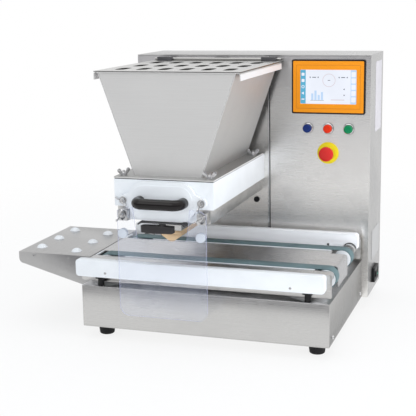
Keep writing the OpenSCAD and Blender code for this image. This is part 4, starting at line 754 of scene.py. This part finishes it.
# Trim on the sheet metal

# The hopper's upright corners: front and back, half its width at foot and top, and where the welds end
HOPPER_FRONT, HOPPER_BACK = 14.0, 405.0
HOPPER_FOOT_W, HOPPER_TOP_W = 88.0, 177.0
WELD_TOP_Z = 690.0
WELD_R, WELD_SWELL, WELD_STEP = 0.75, 0.15, 5.0
# The seam between the two front panels: its foot, the lip, and the dark strip of painted shade beside it
SEAM_FOOT_Z = 150.0
SEAM_SUNK = 0.4
LIP_W, LIP_OUT = 4.6, 0.9
SEAM_SHADE_W, SEAM_SHADE_OUT = 2.8, 0.5


def hopper_welds():
    """Ground weld beads along the hopper's four upright corners."""
    whole = bmesh.new()
    for side in (-1, 1):
        for y in (HOPPER_FRONT, HOPPER_BACK):
            start = Vector((HEAD_X + side * HOPPER_FOOT_W, y, HOPPER_FLANGE_Z))
            end = Vector((HEAD_X + side * HOPPER_TOP_W, y, WELD_TOP_Z))
            length = (end - start).length
            beads = round(length / WELD_STEP)
            swell = [(WELD_R + WELD_SWELL * (i % 2), length * i / beads) for i in range(beads + 1)]
            weld = turned([(0, 0)] + swell + [(0, length)], steps=10)
            join_in(whole, weld, Matrix.Translation(start) @ pointing(end - start))
    add_piece("hopper_welds", whole, CHROME, "machine", smooth=60.0)


def panel_seam():
    """Bright folded edge where the head panel meets the control panel, and a dark strip of painted shade
    beside it.
    """
    low, high = corners("head_panel")
    depth, height = low.y + SEAM_SUNK, (SEAM_FOOT_Z, high.z)
    lip = long_bar((high.x - LIP_W, high.x), (low.y - LIP_OUT, depth), height, edge=0.5)
    add_piece("seam_lip", lip, SCREW_STEEL, "machine")
    # Black strip that paints the shade in the seam
    seam_shade_strip = long_bar((high.x, high.x + SEAM_SHADE_W), (low.y - SEAM_SHADE_OUT, depth), height, edge=0.2)
    add_piece("seam_painted_shade", seam_shade_strip, BLACK_SOFT, "machine")


# Ends of the wear strips
WEAR_X = (-236.0, 272.0)
# The bed's two cut-outs: both sides of the first, the near side of the second, and where both end
FIRST_GAP_Y, SECOND_GAP_NEAR = (78.0, 128.0), 278.0
GAP_END_X = -316.4
# Width of the dark strip of painted shade at the bed's left end
GAP_SHADE_W = 2.4


def wear_strips():
    """White strips on the bed, along the near edge of each belt."""
    bed = corners("slider_bed")[1].z
    whole = bmesh.new()
    for belt in ("belt_front", "belt_rear"):
        near = corners(belt)[0].y
        join_in(whole, long_bar(WEAR_X, (near - 3.6, near - 0.4), (bed - 0.3, bed + 1.4), edge=0.4))
    add_piece("wear_strips", whole, HDPE, "conveyor")


def gap_strips():
    """White strips that close the bed's cut-outs between the infeed table and each belt's nose."""
    low, high = corners("slider_bed")
    play = 0.1
    whole = bmesh.new()
    for near, far in (FIRST_GAP_Y, (SECOND_GAP_NEAR, high.y)):
        strip = long_bar((low.x + GAP_SHADE_W + 0.2, GAP_END_X), (near + play, far - play),
                         (high.z - 4.5, high.z - 0.2), edge=0.8)
        join_in(whole, strip)
    add_piece("gap_strips", whole, HDPE, "conveyor")


def bed_painted_shade():
    """Dark strip along the bed's left end, painted shade in the joint where the infeed table meets it."""
    low, high = corners("slider_bed")
    bed_shade_strip = long_bar((low.x, low.x + GAP_SHADE_W), (low.y + 0.5, high.y - 0.5), (high.z - 1.2, high.z + 0.25),
                    edge=0.2)
    add_piece("bed_painted_shade", bed_shade_strip, BLACK_SOFT, "conveyor")


# On the cabinet's side: middle of the blank film, middle of the bare plate, and its rivets from there
SIDE_FILM_Y, SIDE_FILM_Z = 572.0, 589.0
SIDE_PLATE_Y, SIDE_PLATE_Z = 561.0, 170.5
RIVET_Y, RIVET_Z = 54.0, 36.0
RIVET = [(0, 0), (1.9, 0), (1.8, 0.5), (1.2, 1.0), (0, 1.2)]


def side_plates():
    """A bare white film high on the cabinet's right side and a bare riveted plate low on it."""
    wall = corners("cabinet_shell")[1].x
    film = card(100.0, 194.0, radius=3.0, depth=0.35)
    film.transform(Matrix.Translation((wall, SIDE_FILM_Y, SIDE_FILM_Z)) @ FACE_RIGHT)
    add_piece("side_film", film, BLANK_WHITE, "machine")
    whole = bmesh.new()
    plate = card(120.0, 85.0, radius=3.0, depth=0.6)
    join_in(whole, plate, Matrix.Translation((wall, SIDE_PLATE_Y, SIDE_PLATE_Z)) @ FACE_RIGHT)
    for y in (SIDE_PLATE_Y - RIVET_Y, SIDE_PLATE_Y + RIVET_Y):
        for z in (SIDE_PLATE_Z - RIVET_Z, SIDE_PLATE_Z + RIVET_Z):
            join_in(whole, turned(RIVET, steps=16), Matrix.Translation((wall + 0.5, y, z)) @ FACE_RIGHT)
    add_piece("side_plate", whole, BLANK_PLATE, "machine")


# Control panel

SCREEN_X, SCREEN_Z = 227.5, 623.0
BUTTON_XS, BUTTON_Z = (170.5, 227.5, 284.5), 509.0
# Thickness of the screen picture's shapes, of those that lie on others and of arrows
GROUND, RAISED, ARROW = 0.25, 0.4, 0.5
# The column of signs and the column of keys
MENU_X, KEYS_X = -70.0, 69.5
COLUMN_H = 92.0
KEY_ZS = (-34.0, -17.0, 0.0, 17.0, 34.0)
# Place and height of each level bar, and the line that they stand on
LEVEL_BARS = ((-44.0, 18.0), (-35.0, 26.0), (-26.0, 14.0), (-17.0, 22.0))
LEVEL_FOOT = -36.0
GAUGE_X, GAUGE_Z = 2.0, 18.0
STEP_Z = 26.0


def film_line():
    """The line printed round the screen's film."""
    face = corners("touchscreen_film")[0].y
    line = ring_card(177.0, 119.0, radius=2.0, line=0.9, depth=0.12)
    line.transform(Matrix.Translation((SCREEN_X, face, SCREEN_Z)) @ FACE_FRONT)
    add_piece("film_line", line, FILM_LINE, "machine")


def button_seals():
    """Dark rings between the buttons' collars and the panel."""
    wall = corners("control_panel")[0].y
    inner, outer, height = 14.75, 15.4, 0.6
    ring = turned([(inner, 0.0), (outer, 0.0), (outer, height / 2), (outer - 0.2, height), (inner, height)],
                  steps=40, closed=True)
    places = [((x, wall, BUTTON_Z), FRONT) for x in BUTTON_XS]
    add_piece("button_seals", set_out(ring, places), BLACK_SOFT, "machine")


def screen_layer(name, finish, shapes):
    """Flat shapes of one colour on the display, each with its place in the window."""
    face = corners("display")[0].y
    whole = bmesh.new()
    for shape, x, z in shapes:
        join_in(whole, shape, Matrix.Translation((SCREEN_X + x, face, SCREEN_Z + z)) @ FACE_FRONT)
    add_piece(name, whole, finish, "machine")


def pointer(size, turn):
    """A small triangle, turned by an angle in degrees."""
    build = bmesh.new()
    bmesh.ops.create_circle(build, cap_ends=True, radius=size, segments=3,
                            matrix=Matrix.Rotation(math.radians(turn), 4, "Z"))
    return thicken(build, ARROW)


def screen_menu():
    """A column of plain signs at the left and a column of keys at the right."""
    screen_layer("screen_menu", SCREEN_BLUE, [(card(15.0, COLUMN_H, 0.5, GROUND), MENU_X, 0.0)])
    icons = [(card(8.0, 8.0, 1.6, RAISED), MENU_X, z) for z in (34.0, 17.0)]
    icons += [(ring_card(8.5, 8.5, 4.2, 1.4, RAISED), MENU_X, 0.0), (pointer(4.6, 90.0), MENU_X, -17.5),
              (card(8.5, 3.0, 1.4, RAISED), MENU_X, -34.0)]
    icons += [(card(12.0, 14.0, 2.0, RAISED), KEYS_X, z) for z in KEY_ZS]
    screen_layer("screen_icons", SCREEN_PALE, icons)


def screen_values():
    """Level bars, a ring gauge and step arrows."""
    sky = [(card(16.0, COLUMN_H, 0.5, GROUND), KEYS_X, 0.0)]
    sky += [(card(6.0, height, 0.6, GROUND), x, LEVEL_FOOT + height / 2) for x, height in LEVEL_BARS]
    screen_layer("screen_sky", SCREEN_SKY, sky)
    rose = [(ring_card(36.0, 36.0, 17.9, 1.5, GROUND), GAUGE_X, GAUGE_Z),
            (card(38.0, 2.2, 1.0, GROUND), 26.0, -35.0)]
    screen_layer("screen_gauge", SCREEN_ROSE, rose)
    arrows = [(180.0, -50.0, STEP_Z), (0.0, -28.0, STEP_Z), (180.0, 30.0, STEP_Z), (0.0, 52.0, STEP_Z),
              (90.0, 44.0, -6.0), (270.0, 44.0, -22.0)]
    marks = [(pointer(2.6, turn), x, z) for turn, x, z in arrows]
    marks += [(card(38.0, 0.8, 0.3, GROUND), -30.5, -37.0), (card(11.0, 2.0, 0.8, GROUND), -39.0, STEP_Z),
              (card(11.0, 2.0, 0.8, GROUND), 41.0, STEP_Z), (card(7.0, 1.6, 0.6, GROUND), GAUGE_X, GAUGE_Z)]
    screen_layer("screen_marks", SCREEN_MARK, marks)


def dress_pieces():
    base_screws()
    rail_screws()
    table_screws()
    stud_threads()
    stud_washers()
    hopper_welds()
    panel_seam()
    wear_strips()
    gap_strips()
    bed_painted_shade()
    side_plates()
    film_line()
    button_seals()
    screen_menu()
    screen_values()


# Studio

# Grey room that steel mirrors, by a ray's direction: its foot and its top in Z and its start in Y
ROOM_FOOT, ROOM_TOP, ROOM_AHEAD = (-0.11, -0.06), (0.3, 0.1), (0.2, -0.3)
ROOM_GREY = (0.22, 0.22, 0.24)
WHITE = (1.0, 1.0, 1.0)
FILL_COLOUR, FILL_STRENGTH = (0.9, 0.95, 1.0, 1.0), 0.66
# Distances over which the floor fades out, its tone, and how white it is to the camera and in a mirror
FLOOR_NEAR, FLOOR_FAR = 0.55, 2.2
FLOOR_TONE = (0.9, 0.9, 0.9)
FLOOR_SEEN, FLOOR_MIRRORED = 0.8, 0.88
LAMP_TARGET = Vector((0.0, 0.0, 0.35))


def studio():
    """A white background for what is seen and mirrored, and a soft fill for the rest."""
    world = bpy.data.worlds.new("studio")
    bpy.context.scene.world = world
    world.use_nodes = True
    tree = world.node_tree
    tree.nodes.clear()
    path = tree.nodes.new("ShaderNodeLightPath").outputs
    direct = math_node(tree, "MAXIMUM", path["Is Camera Ray"], path["Is Glossy Ray"])
    seen = math_node(tree, "MAXIMUM", direct, path["Is Transmission Ray"])
    way = split(tree, tree.nodes.new("ShaderNodeTexCoord").outputs["Generated"])
    foot, top = spread(tree, way["Z"], *ROOM_FOOT), spread(tree, way["Z"], *ROOM_TOP)
    level = math_node(tree, "MULTIPLY", foot, top)
    ahead = math_node(tree, "MULTIPLY", level, spread(tree, way["Y"], *ROOM_AHEAD))
    room = math_node(tree, "MULTIPLY", ahead, path["Is Glossy Ray"])
    shown = tree.nodes.new("ShaderNodeBackground")
    tree.links.new(blended(tree, room, WHITE, ROOM_GREY), shown.inputs["Color"])
    fill = tree.nodes.new("ShaderNodeBackground")
    fill.inputs["Color"].default_value = FILL_COLOUR
    fill.inputs["Strength"].default_value = FILL_STRENGTH
    light = shader_mix(tree, seen, fill, shown)
    tree.links.new(light.outputs[0], tree.nodes.new("ShaderNodeOutputWorld").inputs["Surface"])


def floor():
    """Pale floor that takes the contact shadow and runs out into the white background."""
    mesh = bpy.data.meshes.new("studio_floor")
    build = bmesh.new()
    bmesh.ops.create_circle(build, cap_ends=True, radius=FLOOR_FAR, segments=64)
    build.to_mesh(mesh)
    build.free()
    made = Finish("pale_floor")
    tree = made.tree
    made.set(Base_Color=FLOOR_TONE, Roughness=0.9)
    path = tree.nodes.new("ShaderNodeLightPath").outputs
    direct = math_node(tree, "MAXIMUM", path["Is Camera Ray"], path["Is Transmission Ray"])
    seen = math_node(tree, "MULTIPLY", direct, FLOOR_SEEN)
    mirrored = math_node(tree, "MULTIPLY", path["Is Glossy Ray"], FLOOR_MIRRORED)
    white = math_node(tree, "MAXIMUM", seen, mirrored)
    pale = shader_mix(tree, white, made.shader, tree.nodes.new("ShaderNodeEmission"))
    length = tree.nodes.new("ShaderNodeVectorMath")
    length.operation = "LENGTH"
    tree.links.new(made.position, length.inputs[0])
    far = spread(tree, length.outputs["Value"], FLOOR_NEAR, FLOOR_FAR)
    fading = shader_mix(tree, far, pale, tree.nodes.new("ShaderNodeBsdfTransparent"))
    tree.links.new(fading.outputs[0], tree.nodes["Material Output"].inputs["Surface"])
    mesh.materials.append(made.material)
    plane = bpy.data.objects.new("studio_floor", mesh)
    bpy.context.scene.collection.objects.link(plane)


def soft_lamp(name, place, size, power, mirrored=True):
    """A rectangular lamp turned to the machine's middle."""
    lamp = bpy.data.lights.new(name, "AREA")
    lamp.shape = "RECTANGLE"
    lamp.size, lamp.size_y = size
    lamp.energy = power
    holder = bpy.data.objects.new(name, lamp)
    holder.location = place
    holder.visible_glossy = mirrored
    holder.rotation_mode = "QUATERNION"
    holder.rotation_quaternion = (LAMP_TARGET - Vector(place)).to_track_quat("-Z", "Y")
    bpy.context.scene.collection.objects.link(holder)


def lamps():
    soft_lamp("key_lamp", place=(-1.2, -3.2, 2.6), size=(3.0, 2.4), power=20)
    soft_lamp("fill_lamp", place=(1.2, -3.6, 0.7), size=(2.6, 1.4), power=28, mirrored=False)
    soft_lamp("side_lamp", place=(3.6, -0.7, 0.8), size=(2.4, 1.5), power=72, mirrored=False)
    soft_lamp("top_lamp", place=(0.0, 0.0, 3.2), size=(3.2, 2.6), power=34)


dress_nodes()
dress_pieces()
set_camera()
studio()
floor()
lamps()

bpy.context.scene.view_settings.view_transform = "Standard"
